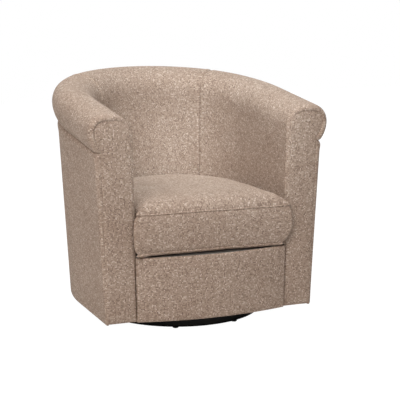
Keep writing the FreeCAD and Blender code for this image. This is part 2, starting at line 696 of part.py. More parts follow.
def front_rail(label, half_width, low, high):
    """A rail between the side rails, bowed behind the apron."""
    ahead = bowed_front(apron_half, RAIL_REAR, BOARD_REAR, low, high, BOW)
    across = Part.makeBox(2 * half_width, size("rail_thickness"), high - low,
                          FreeCAD.Vector(-half_width, -FRONT_FACE, low))
    solid(label, one_solid(ahead.fuse(across).removeSplitter()))


front_rail("seat_rail_front", front_span, size("seat_rail_low"), size("seat_rail_top"))
front_rail("bottom_rail_front", bottom_span, size("bottom_rail_low"), RAIL_TOP)


def bowed_layer(rear, front, low, high):
    """A layer of the apron, parallel to its bow, between two distances ahead of the axis."""
    outer = bowed_front(apron_half, rear - BOW, front, low, high, BOW)
    inner = bowed_front(apron_half, rear - BOW - 1, rear, low, high, BOW)
    return one_solid(outer.cut(inner))


APRON_FRONT = size("arm_reach") + size("apron_proud")
APRON_REAR = APRON_FRONT - size("apron_pad")
solid("apron_board", bowed_layer(BOARD_REAR, APRON_REAR, size("bottom_rail_low"), size("seat_rail_top")))
apron = bowed_layer(APRON_REAR, APRON_FRONT, size("body_foot"), size("apron_top"))
front_edges = [edge for edge in apron.Edges if edge.BoundBox.ZLength < 0.01
               and edge.BoundBox.YMin < -APRON_FRONT - BOW + 1 and edge.BoundBox.XLength > 100]
solid("front_apron", one_solid(apron.makeFillet(size("apron_pad") / 3, front_edges)))


def under_rim(shape, drop):
    """Cuts a shape off below the rim by a sloping plane, a drop under the rim's line."""
    return one_solid(shape.cut(above_rim(-drop)))


POST_DROP = size("roll_seat") + size("rim_rail_thickness")
POST_INNER = size("rim_half_width") - size("frame_in")
POST_DEPTH = size("frame_in") + size("frame_out")


def arm_post(label, front):
    """A post in the arm between the bottom rail and the rim rail; front is its distance ahead of the axis."""
    corner = FreeCAD.Vector(POST_INNER, -front, RAIL_TOP)
    both_sides(label, under_rim(Part.makeBox(POST_DEPTH, size("post_thickness"), FAR / 2, corner), POST_DROP))


arm_post("front_post", FRONT_FACE)
arm_post("rear_post", size("rear_post_place") + size("post_thickness") / 2)


def back_post(label, degrees):
    """A post in the back, square to the plan line at an angle round the back arc."""
    back_centre, back = plan_line()[2:4]
    thickness = size("back_post_thickness")
    low = FreeCAD.Vector(back - size("frame_in") + 0.5,
                         back_centre.y - thickness / 2, RAIL_TOP)
    post = Part.makeBox(POST_DEPTH - 1, thickness, FAR / 2, low)
    solid(label, under_rim(turned(post, back_centre, degrees), POST_DROP))


back_post("back_post_right", size("seam_angle"))
back_post("back_post_middle", 90)
back_post("back_post_left", 180 - size("seam_angle"))

rim_rail = rectangle_section(-size("frame_in"), size("rim_rail_out"), -POST_DROP, -size("roll_seat"))
rail_reach = FRONT_FACE + size("roll_seat") + POST_DROP
rim_arm_rail = on_rim_plane(round_piece(rim_rail, "arm", rail_reach, SLOPE_STRETCH))
both_sides("rim_rail", one_solid(rim_arm_rail.common(behind(-FRONT_FACE)).removeSplitter()))
solid("rim_rail_back", one_solid(on_rim_plane(round_piece(rim_rail, "back", 0, SLOPE_STRETCH))))


def corner_block(x, y, low, sideways, rearwards):
    """A triangular glue block in the inner corner of two rails."""
    leg = size("block_leg")
    points = [FreeCAD.Vector(x, y, low), FreeCAD.Vector(x - sideways * leg, y, low),
              FreeCAD.Vector(x, y + rearwards * leg, low), FreeCAD.Vector(x, y, low)]
    return Part.Face(Part.makePolygon(points)).extrude(FreeCAD.Vector(0, 0, size("block_height")))


block_low = size("seat_rail_low") + (size("seat_rail_top") - size("seat_rail_low") - size("block_height")) / 2
seat_blocks = [corner_block(side * front_span, -RAIL_REAR, block_low, side, 1) for side in (-1, 1)]
solid("corner_blocks", Part.Compound(seat_blocks))


# Upholstered walls: inside panels, outside panels and the dust cover

def lining(height):
    """Offset of the inside panels' inner face at a height: they lean outwards a little."""
    top = size("rim_front_height") - size("roll_seat")
    share = (height - DECK_LOW) / (top - DECK_LOW)
    return -size("lining_foot") + share * (size("lining_foot") - size("lining_head"))


def wall_face(height):
    """Offset of the outside panels' outer face at a height."""
    top = size("rim_front_height") - size("roll_seat")
    share = (height - size("body_foot")) / (top - size("body_foot"))
    return size("wall_foot") + share * (size("wall_head") - size("wall_foot"))


DECK_LOW = size("seat_rail_top") + size("clip_height")
OVER_RIM = RIM_AT_AXIS + size("rim_back") * math.tan(math.radians(size("rim_slope")))
WALL_FRONT = size("arm_reach") - size("front_pad")

inside = section([(-size("lining_back"), DECK_LOW), (-size("lining_back"), OVER_RIM),
                  (lining(OVER_RIM), OVER_RIM), (lining(DECK_LOW), DECK_LOW)])
both_sides("inside_arm", under_rim(round_piece(inside, "arm", WALL_FRONT).removeSplitter(), size("roll_seat")))
solid("inside_back", under_rim(round_piece(inside, "back", 0), size("roll_seat")))

FOOT = size("body_foot")
skin = size("outside_thickness")
outside = section([(wall_face(FOOT) - skin, FOOT), (wall_face(FOOT), FOOT),
                   (wall_face(OVER_RIM), OVER_RIM), (wall_face(OVER_RIM) - skin, OVER_RIM)])
both_sides("outside_arm", under_rim(round_piece(outside, "arm", WALL_FRONT).removeSplitter(), size("roll_seat")))
solid("outside_back", under_rim(round_piece(outside, "back", 0), size("roll_seat")))


def plan_outline(offset, front, low, bow=0.0, corner=0.0):
    """A closed outline parallel to the plan line, with its front bowed and its front corners rounded."""
    side_centre, side, back_centre, back, joint = plan_line()
    half = size("rim_half_width") + offset
    base = FreeCAD.Vector(0, 0, low)
    right_front = FreeCAD.Vector(half, -front + corner, low)
    right_axis = FreeCAD.Vector(half, 0, low)
    right_joint = ring_point(side_centre, side + offset, joint) + base
    edges = [Part.makeLine(right_front, right_axis),
             Part.Arc(right_axis, ring_point(side_centre, side + offset, joint / 2) + base, right_joint).toShape()]
    rear = ring_point(back_centre, back + offset, 90) + base
    edges.append(Part.Arc(right_joint, ring_point(back_centre, back + offset, 45 + joint / 2) + base, rear).toShape())
    if corner:
        corner_end = FreeCAD.Vector(half - corner, -front, low)
        bulge = corner * (1 - math.sqrt(0.5))
        corner_middle = FreeCAD.Vector(half - bulge, -front + bulge, low)
        edges.insert(0, Part.Arc(corner_end, corner_middle, right_front).toShape())
        right_front = corner_end
    left = [edge.mirror(ORIGIN, X_AXIS) for edge in reversed(edges)]
    left_front = FreeCAD.Vector(-right_front.x, right_front.y, low)
    if bow:
        middle = FreeCAD.Vector(0, -front - bow, low)
        closing = Part.Arc(left_front, middle, right_front).toShape()
    else:
        closing = Part.makeLine(left_front, right_front)
    return Part.Wire([closing] + edges + left)


def deck_layer(low, thickness):
    """A cloth or felt over the springs, as wide as the space between the inside panels."""
    outline = plan_outline(lining(low) - size("deck_gap"), BOARD_REAR, low, BOW)
    return Part.Face(outline).extrude(FreeCAD.Vector(0, 0, thickness))


FELT_LOW = DECK_LOW
DECK_CLOTH_LOW = FELT_LOW + size("felt_thickness")
DECK_TOP = DECK_CLOTH_LOW + size("deck_thickness")
solid("spring_felt", deck_layer(FELT_LOW, size("felt_thickness")))
solid("deck_cloth", deck_layer(DECK_CLOTH_LOW, size("deck_thickness")))

cover_low = size("bottom_rail_low") - size("dust_cover_thickness")
cover = Part.Face(plan_outline(0.0, BOARD_REAR, cover_low)).extrude(FreeCAD.Vector(0, 0, size("dust_cover_thickness")))
opening = upright(size("dust_cover_bore"), size("dust_cover_thickness"), low=cover_low)
solid("dust_cover", one_solid(cover.cut(opening)))


# Seat springs and clips

SPRING_HEIGHT = size("seat_rail_top") + size("clip_height") / 2
SPRING_FRONT = -RAIL_REAR - size("clip_depth") / 2


def spring_back(x):
    """Where a spring at x meets the curved seat rail: the middle of its clip."""
    back_centre, back = plan_line()[2:4]
    reach = back - size("seat_rail_in")
    return back_centre.y + math.sqrt(reach**2 - x**2) + size("clip_depth") / 2


def spring_path(x):
    """The zigzag of a sinuous spring: runs across the seat, joined by half turns on alternate sides."""
    length = spring_back(x) - SPRING_FRONT
    runs = 2 * round(length / size("spring_pitch") / 2) + 1
    step = length / (runs - 1)
    half_run = size("spring_width") / 2 - step / 2
    edges = []
    for k in range(runs):
        way = 1 if k % 2 == 0 else -1
        y = SPRING_FRONT + k * step
        start = FreeCAD.Vector(x - way * half_run, y, SPRING_HEIGHT)
        end = FreeCAD.Vector(x + way * half_run, y, SPRING_HEIGHT)
        edges.append(Part.makeLine(start, end))
        if k < runs - 1:
            middle = FreeCAD.Vector(x + way * (half_run + step / 2), y + step / 2, SPRING_HEIGHT)
            after = FreeCAD.Vector(x + way * half_run, y + step, SPRING_HEIGHT)
            edges.append(Part.Arc(end, middle, after).toShape())
    return Part.Wire(edges)


def wire_along(path, start, direction):
    circle = Part.Wire(Part.makeCircle(size("spring_wire") / 2, start, direction))
    return path.makePipeShell([circle], True, False)


spring_places = [(k - (size("spring_count") - 1) / 2) * size("spring_spacing")
                 for k in range(int(size("spring_count")))]
springs = []
clips = []
for x in spring_places:
    path = spring_path(x)
    springs.append(wire_along(path, path.Edges[0].Vertexes[0].Point, X_AXIS))
    for y in (SPRING_FRONT, spring_back(x)):
        low = FreeCAD.Vector(x - size("clip_length") / 2, y - size("clip_depth") / 2, size("seat_rail_top"))
        clip = Part.makeBox(size("clip_length"), size("clip_depth"), size("clip_height"), low)
        channel = Part.makeCylinder(size("spring_wire") / 2, size("clip_length"),
                                    FreeCAD.Vector(low.x, y, SPRING_HEIGHT), X_AXIS)
        clips.append(one_solid(clip.cut(channel)))
solid("seat_springs", Part.Compound(springs))
solid("spring_clips", Part.Compound(clips))


# Padded rim over the arms and the back

SHOULDER_HEIGHT = size("roll_crown") - size("roll_shoulder")


def roll_section():
    """The rim's section: flat seat, overhanging belly, shoulder, crown and inner cheek."""
    half = size("rim_half_width")

    def at(offset, height):
        return FreeCAD.Vector(half + offset, 0, height)

    out = size("roll_out")
    belly = size("roll_belly")
    shoulder = size("roll_shoulder")
    cheek = size("roll_cheek")
    angle = math.asin((SHOULDER_HEIGHT + size("roll_seat")) / belly)
    crease = at(out - belly + belly * math.cos(angle), -size("roll_seat"))
    belly_middle = at(out - belly + belly * math.cos(angle / 2), SHOULDER_HEIGHT - belly * math.sin(angle / 2))
    widest = at(out, SHOULDER_HEIGHT)
    quarter = math.sqrt(0.5)
    shoulder_middle = at(out - shoulder * (1 - quarter), SHOULDER_HEIGHT + shoulder * quarter)
    crown_out = at(out - shoulder, size("roll_crown"))
    crown_in = at(-size("roll_in") + cheek, size("roll_crown"))
    cheek_middle = at(-size("roll_in") + cheek * (1 - quarter), size("roll_crown") - cheek * (1 - quarter))
    cheek_end = at(-size("roll_in"), size("roll_crown") - cheek)
    inner_foot = at(-size("roll_in"), -size("roll_seat"))
    return Part.Face(Part.Wire([
        Part.Arc(crease, belly_middle, widest).toShape(),
        Part.Arc(widest, shoulder_middle, crown_out).toShape(),
        Part.makeLine(crown_out, crown_in),
        Part.Arc(crown_in, cheek_middle, cheek_end).toShape(),
        Part.makeLine(cheek_end, inner_foot),
        Part.makeLine(inner_foot, crease)]))


roll = roll_section()
roll_reach = WALL_FRONT + size("roll_crown")
arm_roll = on_rim_plane(round_piece(roll, "arm", roll_reach, SLOPE_STRETCH))
arm_roll = one_solid(arm_roll.common(behind(-WALL_FRONT)).removeSplitter())
end_edges = [edge for edge in arm_roll.Edges
             if edge.BoundBox.YMax < -WALL_FRONT + 0.01
             and edge.BoundBox.ZMax > size("rim_front_height") - size("roll_seat") + 8]
both_sides("rim_roll", one_solid(arm_roll.makeFillet(size("roll_end_round"), end_edges)))
solid("rim_roll_back", one_solid(on_rim_plane(round_piece(roll, "back", 0, SLOPE_STRETCH))))


# Arm front panels and their boards

def front_outline(y):
    """Outline of an arm's front in a vertical plane: two leaning sides and a round head."""
    half = size("rim_half_width")
    line = size("rim_front_height")
    inset = size("front_inset")
    out = size("roll_out") - inset
    crown = size("roll_crown") - inset
    shoulder = size("roll_shoulder") - inset
    cheek = size("roll_cheek") - inset
    crease = line - size("roll_seat")
    quarter = math.sqrt(0.5)

    def at(offset, height):
        return FreeCAD.Vector(half + offset, y, height)

    inner_head = -size("lining_head") + 1
    foot_in = at(lining(size("body_foot")), size("body_foot"))
    foot_out = at(size("wall_foot"), size("body_foot"))
    waist = at(size("front_waist"), crease)
    swell = at(size("front_waist") + (out - size("front_waist")) * 0.75, crease + (size("roll_seat") + SHOULDER_HEIGHT) * 0.5)
    widest = at(out, line + SHOULDER_HEIGHT)
    shoulder_middle = at(out - shoulder * (1 - quarter), line + crown - shoulder * (1 - quarter))
    crown_out = at(out - shoulder, line + crown)
    crown_in = at(inner_head + cheek, line + crown)
    cheek_middle = at(inner_head + cheek * (1 - quarter), line + crown - cheek * (1 - quarter))
    cheek_end = at(inner_head, line + crown - cheek)
    return Part.Face(Part.Wire([
        Part.makeLine(foot_in, foot_out),
        Part.makeLine(foot_out, waist),
        Part.Arc(waist, swell, widest).toShape(),
        Part.Arc(widest, shoulder_middle, crown_out).toShape(),
        Part.makeLine(crown_out, crown_in),
        Part.Arc(crown_in, cheek_middle, cheek_end).toShape(),
        Part.makeLine(cheek_end, foot_in)]))


panel = front_outline(-size("arm_reach")).extrude(FreeCAD.Vector(0, size("front_pad"), 0))
both_sides("arm_front_panel", panel)


def board_outline(y):
    """The board behind an arm's front: it reaches from the seat's side to the outside panel."""
    half = size("rim_half_width")
    head = size("rim_front_height")
    corners = [(-size("seat_rail_in"), FOOT), (wall_face(FOOT) - skin, FOOT), (wall_face(head) - skin, head),
               (-size("lining_back"), head), (-size("lining_back"), DECK_LOW), (-size("seat_rail_in"), DECK_LOW)]
    points = [FreeCAD.Vector(half + offset, y, height) for offset, height in corners]
    return Part.Face(Part.makePolygon(points + points[:1]))


board = board_outline(-WALL_FRONT).extrude(FreeCAD.Vector(0, size("board_thickness"), 0))
both_sides("arm_front_board", under_rim(board, size("roll_seat")))


# Seat cushion: a boxed border that swells between its seams, a crowned top and a fuller underside

CUSHION_LOW = DECK_TOP + size("cushion_lift")
SEAM_LOW = CUSHION_LOW + size("cushion_under")
SEAM_HIGH = SEAM_LOW + size("cushion_border")


def cushion_outline(inset, height):
    """The cushion's outline at a height, drawn in from its widest line."""
    widest = lining(SEAM_LOW) - size("cushion_gap")
    corner = max(size("cushion_corner") - inset / 8, size("cushion_corner") / 2)
    front = size("arm_reach") + size("cushion_ahead") - inset
    return plan_outline(widest - inset, front, height, size("cushion_bow"), corner)


def bands(outlines):
    return Part.makeLoft(outlines, True, True)


def swelling_border():
    """From seam to seam, widest half way up."""
    steps = 6
    outlines = []
    for k in range(steps + 1):
        share = k / steps
        inset = size("cushion_draw") * (2 * share - 1)**2
        outlines.append(cushion_outline(inset, SEAM_LOW + share * size("cushion_border")))
    return bands(outlines)


def swelling_face(seam, rise):
    """A quarter ellipse from a seam in to the flat middle; a negative rise swells downwards."""
    steps = 7
    outlines = []
    for k in range(steps + 1):
        angle = math.radians(90 * k / steps)
        inset = size("cushion_draw") + size("cushion_crown_reach") * (1 - math.cos(angle))
        outlines.append(cushion_outline(inset, seam + rise * math.sin(angle)))
    return bands(outlines if rise > 0 else outlines[::-1])


cushion_top = swelling_face(SEAM_HIGH, size("cushion_crown"))
cushion_under = swelling_face(SEAM_LOW, -size("cushion_under"))
solid("seat_cushion", one_solid(swelling_border().fuse([cushion_top, cushion_under])))


# Every piece is whole before it is written

doc.recompute()
faults = [thing.Label for thing in doc.Objects if "Invalid" in thing.State or "Error" in thing.State]
for piece in nodes:
    if piece.Shape.isNull() or not piece.Shape.isValid():
        faults.append(piece.Label)
if faults:
    raise ValueError("failed: " + ", ".join(faults))
os.makedirs("parts", exist_ok=True)
for piece in nodes:
    piece.Shape.exportStep("parts/" + piece.Label + ".step")
print(len(nodes), "sub-parts")
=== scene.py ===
import math

import bpy
import numpy as np
from mathutils import Matrix, Vector


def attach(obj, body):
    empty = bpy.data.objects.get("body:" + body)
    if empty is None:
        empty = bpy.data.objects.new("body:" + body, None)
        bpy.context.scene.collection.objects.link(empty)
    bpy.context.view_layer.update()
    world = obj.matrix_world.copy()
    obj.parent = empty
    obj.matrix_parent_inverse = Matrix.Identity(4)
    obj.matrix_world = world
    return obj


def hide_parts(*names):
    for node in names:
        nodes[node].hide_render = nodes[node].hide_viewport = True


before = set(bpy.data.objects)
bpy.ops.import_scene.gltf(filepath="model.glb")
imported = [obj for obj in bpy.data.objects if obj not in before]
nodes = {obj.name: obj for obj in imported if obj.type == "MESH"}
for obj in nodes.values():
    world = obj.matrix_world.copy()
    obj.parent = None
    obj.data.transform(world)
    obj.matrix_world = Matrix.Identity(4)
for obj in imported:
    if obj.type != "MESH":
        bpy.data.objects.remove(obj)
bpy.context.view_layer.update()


# The base
# A low hoop of bent hardwood with two halved cross beams, all lacquered black. Eight plastic glides
# are nailed up into the hoop, and beech dowels hold the beams' ends.

def new_finish(name, color, roughness):
    """A finish with one shader, and its even values on the shader's own sockets."""
    finish = bpy.data.materials.new(name)
    finish.use_nodes = True
    shader = finish.node_tree.nodes["Principled BSDF"]
    shader.inputs["Base Color"].default_value = (*color, 1)
    shader.inputs["Roughness"].default_value = roughness
    return finish, shader


def add_node(finish, kind, **settings):
    node = finish.node_tree.nodes.new(kind)
    for key, value in settings.items():
        if key in node.inputs:
            node.inputs[key].default_value = value
        else:
            setattr(node, key, value)
    return node


def join(finish, source, target):
    finish.node_tree.links.new(source, target)


def object_place(finish, scale):
    """Object coordinates, stretched by a scale along X, Y and Z."""
    place = add_node(finish, "ShaderNodeTexCoord")
    mapping = add_node(finish, "ShaderNodeMapping", Scale=scale)
    join(finish, place.outputs["Object"], mapping.inputs["Vector"])
    return mapping.outputs["Vector"]


def color_steps(finish, factor, steps):
    """A ramp of colours over a factor: pairs of place and colour."""
    ramp = add_node(finish, "ShaderNodeValToRGB")
    elements = ramp.color_ramp.elements
    while len(elements) < len(steps):
        elements.new(0.5)
    for element, (place, color) in zip(elements, steps):
        element.position = place
        element.color = (*color, 1)
    join(finish, factor, ramp.inputs["Fac"])
    return ramp.outputs["Color"]


def raise_surface(finish, shader, height, distance, strength=1.0):
    bump = add_node(finish, "ShaderNodeBump", Distance=distance, Strength=strength)
    join(finish, height, bump.inputs["Height"])
    join(finish, bump.outputs["Normal"], shader.inputs["Normal"])


def give(finish, *names):
    for name in names:
        for slot in nodes[name].material_slots:
            slot.material = finish


def black_lacquer():
    """Satin black lacquer over wood: faint brush waves, a little dust in the gloss."""
    finish, shader = new_finish("black lacquer", (0.006, 0.006, 0.006), 0.3)
    waves = add_node(finish, "ShaderNodeTexNoise", Scale=1.0, Detail=4.0)
    join(finish, object_place(finish, (18, 18, 260)), waves.inputs["Vector"])
    dust = add_node(finish, "ShaderNodeTexNoise", Scale=900.0, Detail=2.0)
    join(finish, object_place(finish, (1, 1, 1)), dust.inputs["Vector"])
    gloss = color_steps(finish, dust.outputs["Fac"], [(0.4, (0.34,) * 3), (0.7, (0.48,) * 3)])
    join(finish, gloss, shader.inputs["Roughness"])
    shade = color_steps(finish, waves.outputs["Fac"], [(0.3, (0.003,) * 3), (0.75, (0.007, 0.0065, 0.006))])
    join(finish, shade, shader.inputs["Base Color"])
    raise_surface(finish, shader, waves.outputs["Fac"], 0.0004, 0.4)
    shader.inputs["Specular IOR Level"].default_value = 0.16
    return finish


def moulded_plastic(name, color, roughness):
    """Moulded plastic with the fine sparked grain of its tool."""
    finish, shader = new_finish(name, color, roughness)
    grain = add_node(finish, "ShaderNodeTexNoise", Scale=2600.0, Detail=2.0)
    join(finish, object_place(finish, (1, 1, 1)), grain.inputs["Vector"])
    darker = tuple(0.8 * c for c in color)
    speckle = color_steps(finish, grain.outputs["Fac"], [(0.35, darker), (0.65, color)])
    join(finish, speckle, shader.inputs["Base Color"])
    raise_surface(finish, shader, grain.outputs["Fac"], 0.0001, 0.4)
    return finish


def plain_wood(name, pale, dark, along):
    """Sawn or planed wood, its grain running along one axis of the chair."""
    finish, shader = new_finish(name, pale, 0.6)
    stretch = [70, 70, 70]
    stretch["XYZ".index(along)] = 5
    rings = add_node(finish, "ShaderNodeTexNoise", Scale=1.0, Detail=5.0, Distortion=0.8)
    join(finish, object_place(finish, stretch), rings.inputs["Vector"])
    color = color_steps(finish, rings.outputs["Fac"], [(0.3, dark), (0.48, pale), (0.6, dark), (0.75, pale)])
    join(finish, color, shader.inputs["Base Color"])
    raise_surface(finish, shader, rings.outputs["Fac"], 0.0003, 0.5)
    return finish


give(black_lacquer(), "base_hoop", "base_beam_long", "base_beam_cross")
give(moulded_plastic("black glide plastic", (0.018, 0.018, 0.018), 0.5), "floor_glides")
give(plain_wood("beech dowel", (0.55, 0.38, 0.24), (0.42, 0.27, 0.16), "X"), "base_dowels")


# The swivel
# Two zinc plated steel plates with pressed races, a plastic ball cage and bright balls between them,
# all on a pivot bolt in a plastic bush. Wood screws hold the plates.

def zinc_plate(name, color, roughness):
    """Zinc plated steel: a mottled spangle with fine rolling marks."""
    finish, shader = new_finish(name, color, roughness)
    shader.inputs["Metallic"].default_value = 1.0
    spangle = add_node(finish, "ShaderNodeTexVoronoi", Scale=140.0)
    join(finish, object_place(finish, (1, 1, 1)), spangle.inputs["Vector"])
    brushed = add_node(finish, "ShaderNodeTexNoise", Scale=1.0, Detail=3.0)
    join(finish, object_place(finish, (30, 900, 900)), brushed.inputs["Vector"])
    pale = tuple(min(1.0, 1.12 * c) for c in color)
    mottle = color_steps(finish, spangle.outputs["Distance"], [(0.0, pale), (0.6, color)])
    join(finish, mottle, shader.inputs["Base Color"])
    rough = color_steps(finish, brushed.outputs["Fac"],
                        [(0.3, (roughness - 0.08,) * 3), (0.7, (roughness + 0.1,) * 3)])
    join(finish, rough, shader.inputs["Roughness"])
    raise_surface(finish, shader, brushed.outputs["Fac"], 0.00005, 0.4)
    return finish


give(zinc_plate("zinc steel", (0.55, 0.56, 0.57), 0.38), "swivel_lower_plate", "swivel_upper_plate",
     "lower_race", "upper_race")
give(zinc_plate("bright steel", (0.62, 0.61, 0.6), 0.22), "pivot_bolt", "pivot_washer", "pivot_nut",
     "lower_plate_screws", "upper_plate_screws", "bearing_balls")
give(moulded_plastic("bearing plastic", (0.7, 0.68, 0.62), 0.4), "ball_cage", "pivot_bush")


# The frame
# Softwood rails and posts, curved rails of laminated wood, glued corner blocks and thin boards
# behind the front panels. It stands on the upper plate of the swivel, on two cross rails.

PALE_PINE = (0.62, 0.46, 0.28)
DARK_PINE = (0.5, 0.33, 0.17)
pine_across = plain_wood("pine across", PALE_PINE, DARK_PINE, "X")
pine_along = plain_wood("pine along", PALE_PINE, DARK_PINE, "Y")
pine_upright = plain_wood("pine upright", PALE_PINE, DARK_PINE, "Z")
give(pine_across, "swivel_rail_front", "swivel_rail_rear", "bottom_rail_front", "seat_rail_front",
     "bottom_rail_back", "seat_rail_back", "rim_rail_back")
give(pine_along, "bottom_rail_left", "bottom_rail_right", "seat_rail_left", "seat_rail_right",
     "rim_rail_left", "rim_rail_right")
give(pine_upright, "front_post_left", "front_post_right", "rear_post_left", "rear_post_right",
     "back_post_left", "back_post_middle", "back_post_right")
give(plain_wood("beech blocks", (0.55, 0.38, 0.24), (0.42, 0.27, 0.16), "Y"), "corner_blocks")
give(plain_wood("plywood", (0.56, 0.42, 0.27), (0.46, 0.32, 0.19), "Z"),
     "arm_front_board_left", "arm_front_board_right", "apron_board")


# The seat deck
# Sinuous springs in steel clips on the seat rails, a felt over them and a dark lining cloth on top.
# Below the frame a black dust cloth is stapled on.

def plain_cloth(name, color, thread):
    """A thin plain-woven cloth, its threads as fine as given."""
    finish, shader = new_finish(name, color, 0.9)
    darker = tuple(0.7 * c for c in color)
    weft = add_node(finish, "ShaderNodeTexWave", Scale=1 / thread, Distortion=0.4, bands_direction="X")
    warp = add_node(finish, "ShaderNodeTexWave", Scale=1 / thread, Distortion=0.4, bands_direction="Y")
    crossing = add_node(finish, "ShaderNodeMath", operation="MULTIPLY")
    place = object_place(finish, (0.16, 0.16, 0.16))
    for number, wave in enumerate((weft, warp)):
        join(finish, place, wave.inputs["Vector"])
        join(finish, wave.outputs["Fac"], crossing.inputs[number])
    weave = color_steps(finish, crossing.outputs[0], [(0.1, darker), (0.6, color)])
    join(finish, weave, shader.inputs["Base Color"])
    raise_surface(finish, shader, crossing.outputs[0], 0.0002, 0.5)
    shader.inputs["Sheen Weight"].default_value = 0.1
    return finish


def dress_copy(node, name, finish):
    """A copy of a flat cloth of the frame, merged, with its edges softened."""
    copy = nodes[node].copy()
    copy.data = nodes[node].data.copy()
    for key in list(copy.keys()):
        del copy[key]
    copy.parent = None
    copy.name = name
    copy.data.materials.clear()
    copy.data.materials.append(finish)
    bpy.context.scene.collection.objects.link(copy)
    pick(copy)
    bpy.ops.object.mode_set(mode="EDIT")
    bpy.ops.mesh.select_all(action="SELECT")
    bpy.ops.mesh.remove_doubles(threshold=0.00001)
    bpy.ops.mesh.dissolve_limited(angle_limit=math.radians(2))
    bpy.ops.object.mode_set(mode="OBJECT")
    soften = copy.modifiers.new("softened", "BEVEL")
    soften.width = 0.0004
    soften.segments = 2
    bpy.ops.object.modifier_apply(modifier=soften.name)
    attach(copy, "chair_body")
    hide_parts(node)
    return copy


def pick(piece):
    bpy.ops.object.select_all(action="DESELECT")
    piece.select_set(True)
    bpy.context.view_layer.objects.active = piece


give(zinc_plate("spring wire", (0.3, 0.3, 0.31), 0.35), "seat_springs")
give(zinc_plate("clip steel", (0.45, 0.45, 0.44), 0.4), "spring_clips")
felt = dress_copy("spring_felt", "felt_pad", plain_cloth("grey felt", (0.45, 0.43, 0.4), 0.0015))
deck = dress_copy("deck_cloth", "deck_lining", plain_cloth("lining cloth", (0.14, 0.12, 0.105), 0.0012))
dust = dress_copy("dust_cover", "dust_cloth", plain_cloth("dust cloth", (0.03, 0.03, 0.03), 0.0008))


# The tweed
# A heavy chenille tweed: taupe yarn with cream and dark brown flecks, in small uneven nubs of about
# four millimetres. It runs along the chair on every panel.

TAUPE = (0.40, 0.308, 0.245)
NUB_LENGTH = 0.0041
NUB_WIDTH = 0.0037


def tweed_cloth():
    finish, shader = new_finish("tweed", TAUPE, 0.95)
    cloth = add_node(finish, "ShaderNodeUVMap", uv_map="cloth")
    wander = add_node(finish, "ShaderNodeTexNoise", Scale=90.0, Detail=2.0)
    join(finish, cloth.outputs["UV"], wander.inputs["Vector"])
    drift = add_node(finish, "ShaderNodeVectorMath", operation="MULTIPLY_ADD")
    join(finish, wander.outputs["Color"], drift.inputs[0])
    drift.inputs[1].default_value = (0.003, 0.003, 0)
    join(finish, cloth.outputs["UV"], drift.inputs[2])
    nub_size = add_node(finish, "ShaderNodeMapping", Scale=(1 / NUB_LENGTH, 1 / NUB_WIDTH, 1))
    join(finish, drift.outputs["Vector"], nub_size.inputs["Vector"])
    nubs = add_node(finish, "ShaderNodeTexVoronoi", Scale=1.0, Randomness=0.5, voronoi_dimensions="2D")
    join(finish, nub_size.outputs["Vector"], nubs.inputs["Vector"])
    chance = add_node(finish, "ShaderNodeSeparateColor")
    join(finish, nubs.outputs["Color"], chance.inputs["Color"])
    yarn = color_steps(finish, chance.outputs["Red"], [
        (0.0, (0.28, 0.198, 0.153)), (0.12, (0.36, 0.262, 0.204)), (0.3, (0.415, 0.306, 0.241)),
        (0.55, (0.46, 0.345, 0.273)), (0.8, (0.515, 0.393, 0.314)), (0.92, (0.59, 0.463, 0.378)),
        (1.0, (0.70, 0.575, 0.485))])
    # Painted shade: the colour darkens towards the edge of each nub, in place of the shade that falls in the
    # gaps between the nubs.
    gap_shade = color_steps(finish, nubs.outputs["Distance"], [(0.24, (1, 1, 1)), (0.64, (0.68, 0.645, 0.62))])
    shaded = add_node(finish, "ShaderNodeMix", data_type="RGBA", blend_type="MULTIPLY")
    shaded.inputs["Factor"].default_value = 1.0
    join(finish, yarn, shaded.inputs["A"])
    join(finish, gap_shade, shaded.inputs["B"])
    broad = add_node(finish, "ShaderNodeTexNoise", Scale=7.0, Detail=3.0)
    join(finish, object_place(finish, (1, 1, 1)), broad.inputs["Vector"])
    tone = color_steps(finish, broad.outputs["Fac"],
                       [(0.35, (0.96, 0.945, 0.935)), (0.65, (1.04, 1.045, 1.05))])
    toned = add_node(finish, "ShaderNodeMix", data_type="RGBA", blend_type="MULTIPLY")
    toned.inputs["Factor"].default_value = 1.0
    join(finish, shaded.outputs["Result"], toned.inputs["A"])
    join(finish, tone, toned.inputs["B"])
    join(finish, toned.outputs["Result"], shader.inputs["Base Color"])
    fibre = add_node(finish, "ShaderNodeTexNoise", Scale=1100.0, Detail=3.0)
    join(finish, cloth.outputs["UV"], fibre.inputs["Vector"])
    height = add_node(finish, "ShaderNodeMath", operation="MULTIPLY_ADD")
    join(finish, nubs.outputs["Distance"], height.inputs[0])
    height.inputs[1].default_value = -1.6
    join(finish, fibre.outputs["Fac"], height.inputs[2])
    raise_surface(finish, shader, height.outputs[0], 0.0009, 0.7)
    shader.inputs["Sheen Weight"].default_value = 0.08
    shader.inputs["Sheen Roughness"].default_value = 0.5
    shader.inputs["Sheen Tint"].default_value = (0.9, 0.8, 0.7, 1)
    shader.inputs["Specular IOR Level"].default_value = 0.15
    return finish


tweed = tweed_cloth()
ROUNDING_LEVELS = 2


